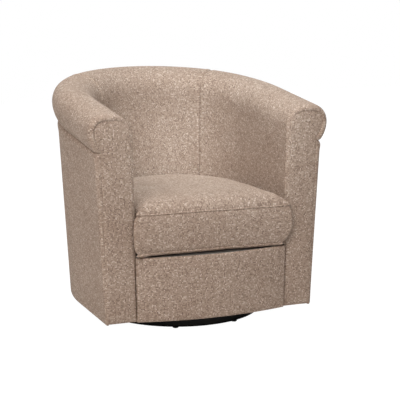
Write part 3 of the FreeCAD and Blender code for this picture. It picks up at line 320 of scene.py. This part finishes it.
def lay_sheet(name, places, along, across, thickness):
    """A padded sheet: a grid laid out over rows and columns of places, thickened inwards and rounded."""
    rows, columns = places.shape[:2]
    bpy.ops.object.select_all(action="DESELECT")
    bpy.ops.mesh.primitive_grid_add(x_subdivisions=columns - 1, y_subdivisions=rows - 1, size=1)
    piece = bpy.context.object
    piece.name = name
    mesh = piece.data
    mesh.name = name
    mesh.vertices.foreach_set("co", places.reshape(-1))
    corners = np.zeros(len(mesh.loops), np.int32)
    mesh.loops.foreach_get("vertex_index", corners)
    cloth = np.stack([along.reshape(-1)[corners], across.reshape(-1)[corners]], axis=1)
    mesh.uv_layers[0].name = "cloth"
    mesh.uv_layers[0].data.foreach_set("uv", cloth.reshape(-1))
    mesh.update()
    mesh.materials.append(tweed)
    pad = piece.modifiers.new("padding", "SOLIDIFY")
    pad.thickness = thickness
    pad.offset = -1
    rounding = piece.modifiers.new("rounding", "SUBSURF")
    rounding.levels = ROUNDING_LEVELS
    rounding.render_levels = ROUNDING_LEVELS
    rounding.boundary_smooth = "ALL"
    for modifier in (pad.name, rounding.name):
        bpy.ops.object.modifier_apply(modifier=modifier)
    bpy.ops.object.shade_smooth()
    return piece


def dress(piece, fill, *replaced):
    """Fixes a padded piece to the chair's body in place of its plain solids."""
    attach(piece, "chair_body")
    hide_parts(*replaced)


# The inside covers
# One cloth on each arm and one on the back: each rises from the seat over foam, rolls over the rim
# and is pulled in under it. They are sewn together by an upright seam on either side of the back.

RIM_HALF_WIDTH = 0.341
ARM_REACH = 0.305
SIDE_TURN = math.radians(22.377)
SEAM_TURN = math.radians(42)
SIDE_CENTRE_X = -0.22103
SIDE_RADIUS = 0.56203
BACK_CENTRE_Y = 0.091
BACK_RADIUS = 0.323
SIDE_START = ARM_REACH
BACK_START = SIDE_START + SIDE_RADIUS * SIDE_TURN
SEAM_PLACE = BACK_START + BACK_RADIUS * (SEAM_TURN - SIDE_TURN)
BACK_MIDDLE = BACK_START + BACK_RADIUS * (math.pi / 2 - SIDE_TURN)
RIM_FRONT_LEVEL = 0.644
RIM_RISE = math.radians(5.85)


def plan_point(run, out):
    """Place in plan at a run along the rim's line from the right arm's front, and an offset out from it."""
    turn = np.clip((run - SIDE_START) / SIDE_RADIUS, 0, SIDE_TURN)
    x = np.where(run < SIDE_START, RIM_HALF_WIDTH + out, SIDE_CENTRE_X + (SIDE_RADIUS + out) * np.cos(turn))
    y = np.where(run < SIDE_START, run - ARM_REACH, (SIDE_RADIUS + out) * np.sin(turn))
    back_turn = SIDE_TURN + (run - BACK_START) / BACK_RADIUS
    x = np.where(run > BACK_START, (BACK_RADIUS + out) * np.cos(back_turn), x)
    y = np.where(run > BACK_START, BACK_CENTRE_Y + (BACK_RADIUS + out) * np.sin(back_turn), y)
    return x, y


def rim_height(y):
    """Height of the rim's line, which climbs evenly from the arms' fronts to the back."""
    return RIM_FRONT_LEVEL + (ARM_REACH + y) * math.tan(RIM_RISE)


# The roll's section is drawn with three arcs, each a centre (offset, height over the rim's line) and a radius.
ROLL_SEAT = 0.0475
DECK_LEVEL = 0.2535
INSIDE_RISE = 0.35
ROLL_CHEEK = ((-0.007, -0.0115), 0.070)
ROLL_SHOULDER = ((0.009, 0.0085), 0.050)
ROLL_BELLY = ((-0.033, 0.0085), 0.092)
END_ROWS = 9


def arc(centre, radius, start, end, steps):
    """Points on an arc of the section, angles in degrees from outwards."""
    return [(centre[0] + radius * math.cos(math.radians(a)), centre[1] + radius * math.sin(math.radians(a)))
            for a in np.linspace(start, end, steps)]


def cover_section():
    """Offset, height over the rim's line and share of the wall's height, from the seat up and over the rim."""
    wall = [(-0.084 + 0.007 * share, -ROLL_SEAT, share) for share in (0, 0.03, 0.12, 0.3, 0.5, 0.7, 0.86, 1)]
    roll = [(-0.077, -0.03)] + arc(*ROLL_CHEEK, 180, 90, 8) + [(0.001, 0.0585)]
    roll += arc(*ROLL_SHOULDER, 90, 0, 7) + arc(*ROLL_BELLY, -6, -35, 6)
    roll += [(0.0395, -0.0482), (0.0352, -0.0515), (0.029, -0.0525), (0.021, -0.0515)]
    return np.array(wall + [(out, rise, 1.0) for out, rise in roll])


def section_normals(section):
    """Outward normals of a section, in its own plane."""
    heights = section[:, 1] - (1 - section[:, 2]) * INSIDE_RISE
    line = np.stack([section[:, 0], heights], axis=1)
    run = np.gradient(line, axis=0)
    run /= np.linalg.norm(run, axis=1, keepdims=True)
    return np.stack([-run[:, 1], run[:, 0]], axis=1)


def cover_places(section, runs, insets):
    """Lays the section out at every run, drawn in by an inset."""
    normals = section_normals(section)
    out = section[:, 0] - insets * normals[:, 0]
    x, y = plan_point(runs, out)
    top = rim_height(y)
    underside = top - ROLL_SEAT
    wall = DECK_LEVEL + section[:, 2] * (underside - DECK_LEVEL)
    height = np.where(section[:, 2] < 1, wall, top + section[:, 1])
    return np.stack([x, y, height - insets * normals[:, 1]], axis=2)


def seam_rows(place, way, ridge):
    """Rows that close a cover at a seam: its edge turned in, and a low ridge beside it."""
    return [(place, 0.0130), (place + way * 0.0009, 0.0080), (place + way * 0.0030, 0.0044),
            (place + way * 0.0064, 0.0016 - ridge), (place + way * 0.0105, -ridge),
            (place + way * 0.0150, -0.5 * ridge), (place + way * 0.0210, 0.0)]


def measure_cloth(places, runs):
    """How the cloth lies: its length along the chair, true to size round the turned ends, and across it."""
    along = runs.copy()
    steps = np.linalg.norm(np.diff(places, axis=0), axis=2)
    for row in range(END_ROWS - 1, -1, -1):
        along[row] = along[row + 1] - steps[row]
    for row in range(len(runs) - END_ROWS, len(runs)):
        along[row] = along[row - 1] + steps[row - 1]
    middle = len(places) // 2
    steps = np.linalg.norm(np.diff(places[middle], axis=0), axis=1)
    across = np.tile(np.concatenate([[0], np.cumsum(steps)]), (len(runs), 1))
    return along, across


def lay_cover(name, rows_of_run, rows_of_inset, side):
    runs = np.array(rows_of_run)
    places = cover_places(section, runs, np.array(rows_of_inset))
    along, across = measure_cloth(places, runs)
    places[:, :, 0] *= side
    if side > 0:
        places, along, across = places[:, ::-1], along[:, ::-1].copy(), across[:, ::-1].copy()
    return lay_sheet(name, places, along, across, 0.0045)


# The front panel's seam lies 12 mm inside the roll's outline, and runs out to the edge down the inside.
section = cover_section()
count = len(section)
SEAM_GAP = 0.0003
PANEL_INSET = 0.012
front_seam = np.where(section[:, 2] < 1, SEAM_GAP, PANEL_INSET)
cheek = (section[:, 0] < ROLL_CHEEK[0][0]) & (section[:, 2] == 1)
cheek_share = (section[cheek, 0] - ROLL_CHEEK[0][0]) / ROLL_CHEEK[1]
front_seam[cheek] = PANEL_INSET + 0.011 * np.maximum(-1, cheek_share)

# A cover's front end, as it turns over to the seam: inset past the seam, and run along the chair.
EDGE_DEPTH = 0.0115
TUCKED = [(0.0070, 0.0098), (0.0045, 0.0074), (0.0022, 0.0063), (0.0010, 0.0066), (0.0004, 0.0075),
          (0.0001, 0.0088), (0.0, 0.0105), (0.0, 0.0135), (0.0, 0.0180)]
CREST = [(0.0060, 0.0098), (0.0032, 0.0066), (0.0007, 0.0044), (-0.0004, 0.0018), (-0.0024, 0.0004),
         (-0.0052, 0.0008), (-0.0083, 0.0032), (-0.0106, 0.0078), (-0.0115, 0.0150)]


def front_rows(seam, rounded):
    """A cover's front end, from its turned-in edge at the panel's seam out to its face.
    Where the seam lies well inside the outline, the cover rounds over to it."""
    share = np.clip(seam / EDGE_DEPTH, 0, 1)
    seam = np.maximum(seam, EDGE_DEPTH)
    runs = []
    insets = []
    for (tuck, tuck_run), (turn, turn_run) in zip(TUCKED, rounded):
        turned = seam + (turn if turn > 0 else turn * seam / EDGE_DEPTH)
        insets.append((1 - share) * tuck + share * turned)
        runs.append((1 - share) * tuck_run + share * turn_run)
    return runs, insets


def arm_rows(seam, ridge, rounded):
    """From the front end, rounded over to the front panel's seam, back to the seam beside the back."""
    runs, insets = front_rows(seam, rounded)
    for run in (0.026, 0.038, *np.linspace(0.055, SEAM_PLACE - 0.035, 24)):
        runs.append(np.full(len(seam), run))
        insets.append(np.zeros(len(seam)))
    for run, inset in reversed(seam_rows(SEAM_PLACE - SEAM_GAP, -1, ridge)):
        runs.append(np.full(len(seam), run))
        insets.append(np.full(len(seam), inset))
    return runs, insets


def back_rows():
    """From seam to seam round the back."""
    runs = []
    insets = []
    first = SEAM_PLACE + SEAM_GAP
    last = 2 * BACK_MIDDLE - first
    ridge = 0.0016
    rows = seam_rows(first, 1, ridge)
    rows += [(run, 0.0) for run in np.linspace(first + 0.03, last - 0.03, 21)]
    rows += list(reversed(seam_rows(last, -1, ridge)))
    for run, inset in rows:
        runs.append(np.full(count, run))
        insets.append(np.full(count, inset))
    return runs, insets


arm_runs, arm_insets = arm_rows(front_seam, 0.0004, CREST)
back_runs, back_insets = back_rows()
dress(lay_cover("inside_cover_right", arm_runs, arm_insets, 1), 0.9, "inside_arm_right", "rim_roll_right")
dress(lay_cover("inside_cover_left", arm_runs, arm_insets, -1), 0.9, "inside_arm_left", "rim_roll_left")
dress(lay_cover("inside_cover_back", back_runs, back_insets, 1), 0.9, "inside_back", "rim_roll_back")


# The outside panels
# Cloth over thin wadding, blind tacked under the rim and pulled down tight to the frame's foot.
# Each leans out towards the rim, and its top edge swells a little under the roll.

WALL_FOOT = 0.009
WALL_HEIGHT = 0.5485
WALL_LEAN = 0.031 / WALL_HEIGHT
FOOT_LEVEL = 0.048
TOP_GAP = 0.0545


def wall_section():
    """Inset from the panel's face, height over the foot, and share of the panel's height."""
    foot = [(0.0065, 0.0035, 0), (0.0045, 0.0006, 0), (0.0018, 0.0, 0), (0.0, 0.0025, 0),
            (0.0, 0.010, 0)]
    face = [(0.0, 0.0, share) for share in (0.06, 0.16, 0.3, 0.45, 0.6, 0.74, 0.86, 0.94)]
    head = [(-0.0006, -0.0290, 1), (-0.0020, -0.0200, 1), (-0.0016, -0.0135, 1), (0.0008, -0.0080, 1),
            (0.0044, -0.0048, 1), (0.0092, -0.0030, 1), (0.0150, -0.0022, 1)]
    return np.array(foot + face + head)


def wall_places(runs, insets):
    inward = wall_shape[:, 0] + insets
    out = np.zeros_like(runs)
    for repeat in range(3):
        x, y = plan_point(runs, out)
        top = rim_height(y) - TOP_GAP
        height = FOOT_LEVEL + wall_shape[:, 2] * (top - FOOT_LEVEL) + wall_shape[:, 1]
        out = WALL_FOOT + WALL_LEAN * (height - FOOT_LEVEL) - inward
    x, y = plan_point(runs, out)
    return np.stack([x, y, height], axis=2)


def lay_wall(name, rows_of_run, rows_of_inset, side):
    runs = np.array(rows_of_run)
    places = wall_places(runs, np.array(rows_of_inset))
    along, across = measure_cloth(places, runs)
    places[:, :, 0] *= side
    if side < 0:
        places, along, across = places[:, ::-1], along[:, ::-1].copy(), across[:, ::-1].copy()
    return lay_sheet(name, places, along, across, 0.0035)


wall_shape = wall_section()
wall_count = len(wall_shape)
wall_share = np.clip(wall_shape[:, 2] + wall_shape[:, 1] / 0.55, 0, 1)
WAIST = 0.025
wall_seam = SEAM_GAP + (WALL_LEAN * WALL_HEIGHT + WALL_FOOT - WAIST) * wall_share


def wall_back_rows():
    """From seam to seam round the outside of the back."""
    ridge = 0.0006
    first = SEAM_PLACE + SEAM_GAP
    last = 2 * BACK_MIDDLE - first
    rows = seam_rows(first, 1, ridge)
    rows += [(run, 0.0) for run in np.linspace(first + 0.03, last - 0.03, 19)]
    rows += list(reversed(seam_rows(last, -1, ridge)))
    runs = [np.full(wall_count, run) for run, inset in rows]
    insets = [np.full(wall_count, inset) for run, inset in rows]
    return runs, insets


PLAIN_ROUND = [(0.0060, 0.0110), (0.0032, 0.0080), (0.0007, 0.0060), (-0.0004, 0.0044), (-0.0024, 0.0034),
               (-0.0052, 0.0040), (-0.0083, 0.0064), (-0.0106, 0.0105), (-0.0115, 0.0170)]
wall_runs, wall_insets = arm_rows(wall_seam, 0.0003, PLAIN_ROUND)
dress(lay_wall("outside_panel_right", wall_runs, wall_insets, 1), 0.8, "outside_arm_right")
dress(lay_wall("outside_panel_left", wall_runs, wall_insets, -1), 0.8, "outside_arm_left")
wall_runs, wall_insets = wall_back_rows()
dress(lay_wall("outside_panel_back", wall_runs, wall_insets, 1), 0.8, "outside_back")


# The arm front panels
# A padded panel closes each arm's front end, from the foot up into the head of the roll, a little
# domed, sewn all round inside the rounded edge of the covers.

WAIST_LEVEL = 0.5965
HEAD_LEVEL = 0.6325
SHOULDER_LEVEL = 0.6525


def panel_sides():
    """The panel's outer and inner edges from the foot up to the crown: offsets and heights."""
    low = FOOT_LEVEL + 0.0004
    levels = [low, 0.0505, 0.056, 0.075, 0.12, 0.19, 0.27, 0.35, 0.43, 0.50, 0.555]
    outer = [(WALL_FOOT - SEAM_GAP + (WAIST - WALL_FOOT) * (z - low) / (WAIST_LEVEL - low), z) for z in levels]
    outer += [(WAIST, WAIST_LEVEL), (0.0325, 0.6075), (0.0387, 0.6185), (0.0430, 0.6300), (0.0460, 0.6415)]
    outer += arc((0.009, SHOULDER_LEVEL), 0.038, 0, 90, 7)
    inner = [(-0.0881 + 0.0121 * (z - low) / (HEAD_LEVEL - low), z) for z in levels + [0.59, 0.612]]
    inner += arc((-0.018, HEAD_LEVEL), 0.058, 180, 90, 10)
    return np.array(outer), np.array(inner)


def lay_panel(name, side):
    """A grid from the outer to the inner edge, domed in the middle and turned in close to its edge."""
    outer, inner = panel_sides()
    shares = np.array([0, 0.012, 0.028, 0.052, 0.1, 0.2, 0.35, 0.5,
                       0.65, 0.8, 0.9, 0.948, 0.972, 0.988, 1.0])
    flat = outer[:, None, :] + shares[None, :, None] * (inner - outer)[:, None, :]
    rim = np.concatenate([outer, inner[::-1]])
    rim = np.concatenate([rim, rim[:1]])
    between = np.linspace(0, 1, 40, endpoint=False)[None, :, None]
    rim = (rim[:-1, None] + between * np.diff(rim, axis=0)[:, None]).reshape(-1, 2)
    from_edge = np.linalg.norm(flat[:, :, None, :] - rim[None, None], axis=3).min(axis=2)
    dome = 0.0028 * (1 - np.exp(-from_edge / 0.012)) - 0.0052 * np.exp(-from_edge / 0.0021)
    x = (RIM_HALF_WIDTH + flat[:, :, 0]) * side
    places = np.stack([x, -(ARM_REACH + dome), flat[:, :, 1]], axis=2)
    along = x.copy()
    across = flat[:, :, 1].copy()
    if side > 0:
        places, along, across = places[:, ::-1], along[:, ::-1].copy(), across[:, ::-1].copy()
    return lay_sheet(name, places, along, across, 0.0045)


dress(lay_panel("arm_panel_right", 1), 0.85, "arm_front_panel_right")
dress(lay_panel("arm_panel_left", -1), 0.85, "arm_front_panel_left")


# The apron
# A bowed padded board across the front below the cushion. It stands a little proud of the arm
# panels, with soft rounded edges all round.

APRON_TOP = 0.255
APRON_BOW = 0.035
APRON_FRONT = 0.313
APRON_HALF = 0.2522
APRON_SPREAD = 0.0043
APRON_SWELL = 0.003


def lay_apron():
    """Rows from the lower turned edge over the face to the upper one; columns across the chair."""
    edge = 0.0075
    rows = [(0.013, 0.0080, 0.0), (0.0092, 0.002, 0.0), (0.0045, 0.0, 0.0), (0.0012, 0.0028, 0.0),
            (0.0, 0.0085, 0.0)]
    rows += [(0.0, 0.0, share) for share in (0.08, 0.22, 0.36, 0.5, 0.64, 0.78, 0.9)]
    rows += [(0.0, -0.010, 1.0), (0.0014, -0.0038, 1.0), (0.005, -0.0008, 1.0), (0.0095, 0.0, 1.0),
             (0.0150, -0.001, 1.0)]
    ends = [0.0, 0.0003, 0.0012, 0.0030, 0.0055, 0.0090, 0.0150, 0.0260, 0.0450]
    middle = np.linspace(0.075, APRON_HALF, 7)
    half_columns = 1 - np.array(ends + list(middle)) / APRON_HALF
    columns = np.concatenate([-half_columns, half_columns[:-1][::-1]])
    from_end = (1 - np.abs(columns)) * APRON_HALF
    turned = edge - np.sqrt(np.maximum(edge**2 - np.maximum(edge - from_end, 0)**2, 0))
    turned[[0, -1]] = 0.0125
    turned[[1, -2]] = 0.0078
    places = np.zeros((len(rows), len(columns), 3))
    for i, (back, lift, share) in enumerate(rows):
        level = FOOT_LEVEL + share * (APRON_TOP - FOOT_LEVEL) + lift
        half = APRON_HALF + APRON_SPREAD * (level - FOOT_LEVEL) / (APRON_TOP - FOOT_LEVEL)
        swell = APRON_SWELL * (1 - np.exp(-from_end / 0.025)) * (1 - abs(2 * share - 1)**3)
        places[i, :, 0] = columns * half
        places[i, :, 1] = -(APRON_FRONT + APRON_BOW * (1 - columns**2) + swell) + np.maximum(back, turned)
        places[i, :, 2] = level
    along = places[:, :, 0].copy()
    across = places[:, :, 2].copy()
    return lay_sheet("apron_cover", places, along, across, 0.004)


dress(lay_apron(), 0.85, "front_apron")


# The seat cushion
# A loose boxed cushion: a crowned top, a border between two sewn seams and a fuller underside.
# Its front corners swell out past the arms, and the left one hangs a little over the apron.

CUSHION_WIDEST = -0.0885
CUSHION_AHEAD = 0.0235
CUSHION_BOW = 0.0110
CUSHION_CORNER = 0.012
SEAM_LOW = 0.2681
SEAM_HIGH = 0.3925


def soft_step(value, low, high):
    share = np.clip((value - low) / (high - low), 0, 1)
    return share * share * (3 - 2 * share)


def cushion_outline(inset):
    """The cushion's outline, drawn in from its widest line, counter-clockwise from the front's middle."""
    corner = CUSHION_CORNER + 0.25 * inset
    out = CUSHION_WIDEST - inset
    half = RIM_HALF_WIDTH + out
    front = ARM_REACH + CUSHION_AHEAD - inset
    reach = half - corner
    points = [(share * reach, -front - CUSHION_BOW * (1 - share**2)) for share in np.linspace(0, 1, 14)[:-1]]
    points += arc((reach, corner - front), corner, -90, 0, 7)
    first = ARM_REACH - front + corner
    runs = [first + step for step in (0.003, 0.006, 0.009, 0.013, 0.020, 0.032)]
    runs += list(np.linspace(first + 0.050, SIDE_START, 9)[:-1])
    runs += list(np.linspace(SIDE_START, BACK_START, 9)[:-1]) + list(np.linspace(BACK_START, BACK_MIDDLE, 15))
    for run in runs:
        x, y = plan_point(np.float64(run), out)
        points.append((float(x), float(y)))
    return np.array(points + [(-x, y) for x, y in reversed(points[1:-1])])


def cushion_rings():
    """Outlines from the middle of the underside up over the border to the middle of the top.
    Both seams are a fine ridge of sewn edges in a shallow groove."""
    beside_seam = [(0.0082, -0.0013), (0.0054, -0.0006), (0.0053, 0.0006), (0.0082, 0.0013)]
    middle = np.array([0.0, -0.02])

    def face(seam, way, rise, reach):
        found = [(cushion_outline(0.0086), seam + way * 0.0030)]
        for degrees in (9, 18, 28, 38, 49, 61, 74, 88):
            angle = math.radians(degrees)
            inset = 0.0086 + reach * (1 - math.cos(angle))
            found.append((cushion_outline(inset), seam + way * (0.003 + (rise - 0.003) * math.sin(angle))))
        flat = found[-1][0]
        for share in (0.84, 0.67, 0.5, 0.33, 0.18, 0.06):
            found.append((middle + share * (flat - middle), seam + way * rise))
        return found

    border = [(0.0086, 0.0028), (0.0062, 0.0055), (0.0040, 0.0100), (0.0026, 0.0180), (0.0014, 0.0300),
              (0.0006, 0.0450)]
    height = SEAM_HIGH - SEAM_LOW
    border += [(0.0004, height / 2)] + [(inset, height - lift) for inset, lift in reversed(border)]
    rings = list(reversed(face(SEAM_LOW, -1, 0.0095, 0.045)))
    rings += [(cushion_outline(inset), SEAM_LOW + lift) for inset, lift in beside_seam]
    first = len(rings) - 2
    rings += [(cushion_outline(inset), SEAM_LOW + lift) for inset, lift in border]
    last = len(rings) + 1
    rings += [(cushion_outline(inset), SEAM_HIGH + lift) for inset, lift in beside_seam]
    rings += face(SEAM_HIGH, 1, 0.025, 0.110)
    return rings, first, last


rings, border_first, border_last = cushion_rings()
around = len(rings[0][0])
bpy.ops.object.select_all(action="DESELECT")
bpy.ops.mesh.primitive_grid_add(x_subdivisions=around, y_subdivisions=len(rings) - 1, size=1)
cushion = bpy.context.object
cushion.name = "cushion"
mesh = cushion.data
mesh.name = "cushion"
places = np.zeros((len(rings), around + 1, 3))  # the last column closes the ring on the first
for number, (outline, level) in enumerate(rings):
    places[number, :-1, :2] = outline
    places[number, -1, :2] = outline[0]
    places[number, :, 2] = level
mesh.vertices.foreach_set("co", places.reshape(-1))
corners = np.zeros(len(mesh.loops), np.int32)
mesh.loops.foreach_get("vertex_index", corners)

# The cloth's lie: straight round the border, and spread out from the middle on the top and underside.
row = corners // (around + 1)
face_row = np.repeat(row.reshape(-1, 4).min(axis=1), 4)
on_border = (face_row >= border_first) & (face_row < border_last)
middle_ring = places[(border_first + border_last) // 2]
girth = np.concatenate([[0], np.cumsum(np.linalg.norm(np.diff(middle_ring, axis=0), axis=1))])
steps = np.linalg.norm(np.diff(places, axis=0), axis=2)
from_below = np.concatenate([np.zeros((1, around + 1)), np.cumsum(steps, axis=0)])
from_above = from_below[-1] - from_below
outward = places[:, :, :2] - places[:1, :, :2].mean(axis=1, keepdims=True)
reach = np.linalg.norm(outward, axis=2)
below = np.arange(len(rings))[:, None] < border_first + 1
laid_out = np.where(below, from_below + reach[:1], from_above + reach[-1:])
unfolded = (outward * (laid_out / reach)[:, :, None]).reshape(-1, 2)
u = np.where(on_border, girth[corners % (around + 1)], unfolded[corners, 0])
v = np.where(on_border, places.reshape(-1, 3)[corners, 2], unfolded[corners, 1])
mesh.uv_layers[0].name = "cloth"
mesh.uv_layers[0].data.foreach_set("uv", np.stack([u, v], axis=1).reshape(-1))
mesh.update()
bpy.ops.object.mode_set(mode="EDIT")
bpy.ops.mesh.select_all(action="SELECT")
bpy.ops.mesh.remove_doubles(threshold=0.00001)
bpy.ops.mesh.fill_holes(sides=0)
bpy.ops.mesh.normals_make_consistent(inside=False)
bpy.ops.object.mode_set(mode="OBJECT")
bpy.ops.object.shade_smooth()
start = np.zeros(len(mesh.vertices) * 3)
mesh.vertices.foreach_get("co", start)
start = start.reshape(-1, 3)

cloth = cushion.modifiers.new("stuffing", "CLOTH")
cloth.settings.use_pressure = True
cloth.settings.uniform_pressure_force = 4.0
cloth.settings.effector_weights.gravity = 0
cloth.settings.mass = 0.4
cloth.settings.tension_stiffness = 25
cloth.settings.compression_stiffness = 25
cloth.settings.shear_stiffness = 10
cloth.settings.bending_stiffness = 2.0
cloth.collision_settings.use_collision = False
for number in range(1, 21):
    bpy.context.scene.frame_set(number)
pick(cushion)
bpy.ops.object.modifier_apply(modifier=cloth.name)
bpy.context.scene.frame_set(1)

# The stuffing's swell is kept small, and smaller still sideways, so that the cushion lifts out freely.
# Then the front corners are drawn out past the arms, and the top is set fuller at the front right.
LARGEST_SWELL = 0.006
swollen = np.zeros(len(start) * 3)
mesh.vertices.foreach_get("co", swollen)
move = swollen.reshape(-1, 3) - start
far = np.linalg.norm(move, axis=1, keepdims=True)
move *= np.minimum(1, LARGEST_SWELL / np.maximum(far, 1e-9)) * np.array([0.15, 0.2, 1.0])
shape = start + move
level = (shape[:, 2] - SEAM_LOW) / (SEAM_HIGH - SEAM_LOW)
to_right = soft_step(shape[:, 0], 0.19, 0.252)
to_left = soft_step(-shape[:, 0], 0.19, 0.252)
ahead = soft_step(-shape[:, 1], ARM_REACH + 0.0035, ARM_REACH + 0.0085)
right_ear = to_right * (0.003 + 0.023 * soft_step(level, -0.05, 0.45))
left_ear = to_left * (0.0125 + 0.0025 * soft_step(level, -0.2, 0.3))
shape[:, 0] += ahead * (right_ear - left_ear)
crowned = soft_step(shape[:, 2], SEAM_HIGH, SEAM_HIGH + 0.02)
forward = -shape[:, 1] / 0.25
shape[:, 2] += crowned * (0.0110 * forward + 0.004 * soft_step(shape[:, 0], -0.1, 0.2))
shape[:, 2] -= 0.004 * soft_step(shape[:, 0], 0.05, 0.25) * soft_step(-shape[:, 1], 0.15, 0.31)
shape[:, 2] -= 0.0055 * to_left * soft_step(-shape[:, 1], 0.24, 0.31) * soft_step(-level, -0.2, 0.05)
mesh.vertices.foreach_set("co", shape.reshape(-1))
mesh.update()
rounding = cushion.modifiers.new("rounding", "SUBSURF")
rounding.levels = ROUNDING_LEVELS
rounding.render_levels = ROUNDING_LEVELS
pick(cushion)
bpy.ops.object.modifier_apply(modifier=rounding.name)
mesh.materials.append(tweed)
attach(cushion, "seat_cushion")
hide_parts("seat_cushion")


# The studio
# A pale floor, a white surround, soft lamps over and around the chair, and two small spots that
# lighten the inside of the back. The camera stands where the photographer's stood.

bpy.ops.object.select_all(action="DESELECT")
bpy.ops.mesh.primitive_plane_add(size=12, location=(0, 0, 0))
floor = bpy.context.object
floor.name = "floor"
paint = bpy.data.materials.new("pale floor")
paint.use_nodes = True
tree = paint.node_tree
shader = tree.nodes["Principled BSDF"]
shader.inputs["Base Color"].default_value = (0.85, 0.85, 0.85, 1)
shader.inputs["Roughness"].default_value = 0.9
white = tree.nodes.new("ShaderNodeEmission")
white.inputs["Color"].default_value = (1, 1, 1, 1)
white.inputs["Strength"].default_value = 1.14
seen = tree.nodes.new("ShaderNodeLightPath")
share = tree.nodes.new("ShaderNodeMath")
share.operation = "MULTIPLY"
share.inputs[1].default_value = 0.88
blend = tree.nodes.new("ShaderNodeMixShader")
tree.links.new(seen.outputs["Is Camera Ray"], share.inputs[0])
tree.links.new(share.outputs[0], blend.inputs["Fac"])
tree.links.new(shader.outputs["BSDF"], blend.inputs[1])
tree.links.new(white.outputs["Emission"], blend.inputs[2])
tree.links.new(blend.outputs["Shader"], tree.nodes["Material Output"].inputs["Surface"])
floor.data.materials.append(paint)

world = bpy.data.worlds.new("studio")
bpy.context.scene.world = world
world.use_nodes = True
tree = world.node_tree
soft = tree.nodes["Background"]
soft.inputs["Color"].default_value = (1, 0.985, 0.97, 1)
soft.inputs["Strength"].default_value = 0.08
plain = tree.nodes.new("ShaderNodeBackground")
plain.inputs["Color"].default_value = (1, 1, 1, 1)
plain.inputs["Strength"].default_value = 1.0
seen = tree.nodes.new("ShaderNodeLightPath")
either = tree.nodes.new("ShaderNodeMath")
either.operation = "MAXIMUM"
any_of = tree.nodes.new("ShaderNodeMath")
any_of.operation = "MAXIMUM"
tree.links.new(seen.outputs["Is Camera Ray"], either.inputs[0])
tree.links.new(seen.outputs["Is Glossy Ray"], either.inputs[1])
tree.links.new(either.outputs[0], any_of.inputs[0])
tree.links.new(seen.outputs["Is Transmission Ray"], any_of.inputs[1])
mix = tree.nodes.new("ShaderNodeMixShader")
tree.links.new(any_of.outputs[0], mix.inputs["Fac"])
tree.links.new(soft.outputs["Background"], mix.inputs[1])
tree.links.new(plain.outputs["Background"], mix.inputs[2])
tree.links.new(mix.outputs["Shader"], tree.nodes["World Output"].inputs["Surface"])

WARM_LIGHT = (1, 0.975, 0.955)
COOL_LIGHT = (0.9, 1.0, 1.04)
SPOT_LIGHT = (0.82, 1.0, 1.1)
LAMPS = [
    ("lamp_front_left", (-2.6, -2.6, 3.2), 1.8, 92, WARM_LIGHT),
    ("lamp_front", (0.0, -1.8, 3.6), 1.8, 48, WARM_LIGHT),
    ("lamp_over", (0.0, 0.3, 3.8), 2.0, 57, COOL_LIGHT),
    ("lamp_side", (-3.6, 0.0, 1.6), 2.0, 14, WARM_LIGHT),
    ("lamp_behind", (1.5, 3.6, 2.2), 2.2, 40, WARM_LIGHT),
]
for name, place, width, power, color in LAMPS:
    lamp = bpy.data.objects.new(name, bpy.data.lights.new(name, "AREA"))
    lamp.data.size = width
    lamp.data.energy = power
    lamp.data.color = color
    lamp.location = place
    lamp.rotation_euler = (Vector((0, 0, 0.4)) - Vector(place)).to_track_quat("-Z", "Y").to_euler()
    bpy.context.scene.collection.objects.link(lamp)
SPOTS = [
    ("spot_front", (0.3, -3.2, 2.3), (0.04, 0.3, 0.50), 11.5, 115),
    ("spot_left", (-0.9, -3.0, 2.4), (0.14, 0.24, 0.50), 12.5, 385),
]
for name, place, aim, cone, power in SPOTS:
    spot = bpy.data.objects.new(name, bpy.data.lights.new(name, "SPOT"))
    spot.data.energy = power
    spot.data.color = SPOT_LIGHT
    spot.data.spot_size = math.radians(cone)
    spot.data.spot_blend = 1.0
    spot.data.shadow_soft_size = 0.25
    spot.location = place
    spot.rotation_euler = (Vector(aim) - Vector(place)).to_track_quat("-Z", "Y").to_euler()
    bpy.context.scene.collection.objects.link(spot)


# The camera stands at an azimuth and elevation about the aim, and is then turned a little aside and up.
azimuth = math.radians(-20.7403)
elevation = math.radians(10.9153)
VIEW_DISTANCE = 4.55285
AIM = Vector((0, 0.0475, 0.3468))
back = Vector((math.sin(azimuth) * math.cos(elevation), -math.cos(azimuth) * math.cos(elevation),
               math.sin(elevation)))
right = (-back).cross(Vector((0, 0, 1))).normalized()
aside = Matrix.Rotation(math.radians(-1.2030), 3, "Z")
ahead = aside @ -back
right = aside @ right
up = right.cross(ahead)
tilt = math.radians(0.1433)
sight = ahead * math.cos(tilt) + up * math.sin(tilt)
up = right.cross(sight)
camera = bpy.data.objects.new("camera", bpy.data.cameras.new("camera"))
camera.data.sensor_width = 36
camera.data.lens = 120.517
turned = Matrix((right, up, -sight)).transposed().to_4x4()
camera.matrix_world = Matrix.Translation(AIM + back * VIEW_DISTANCE) @ turned
bpy.context.scene.collection.objects.link(camera)
bpy.context.scene.camera = camera
bpy.context.scene.view_settings.view_transform = "Standard"
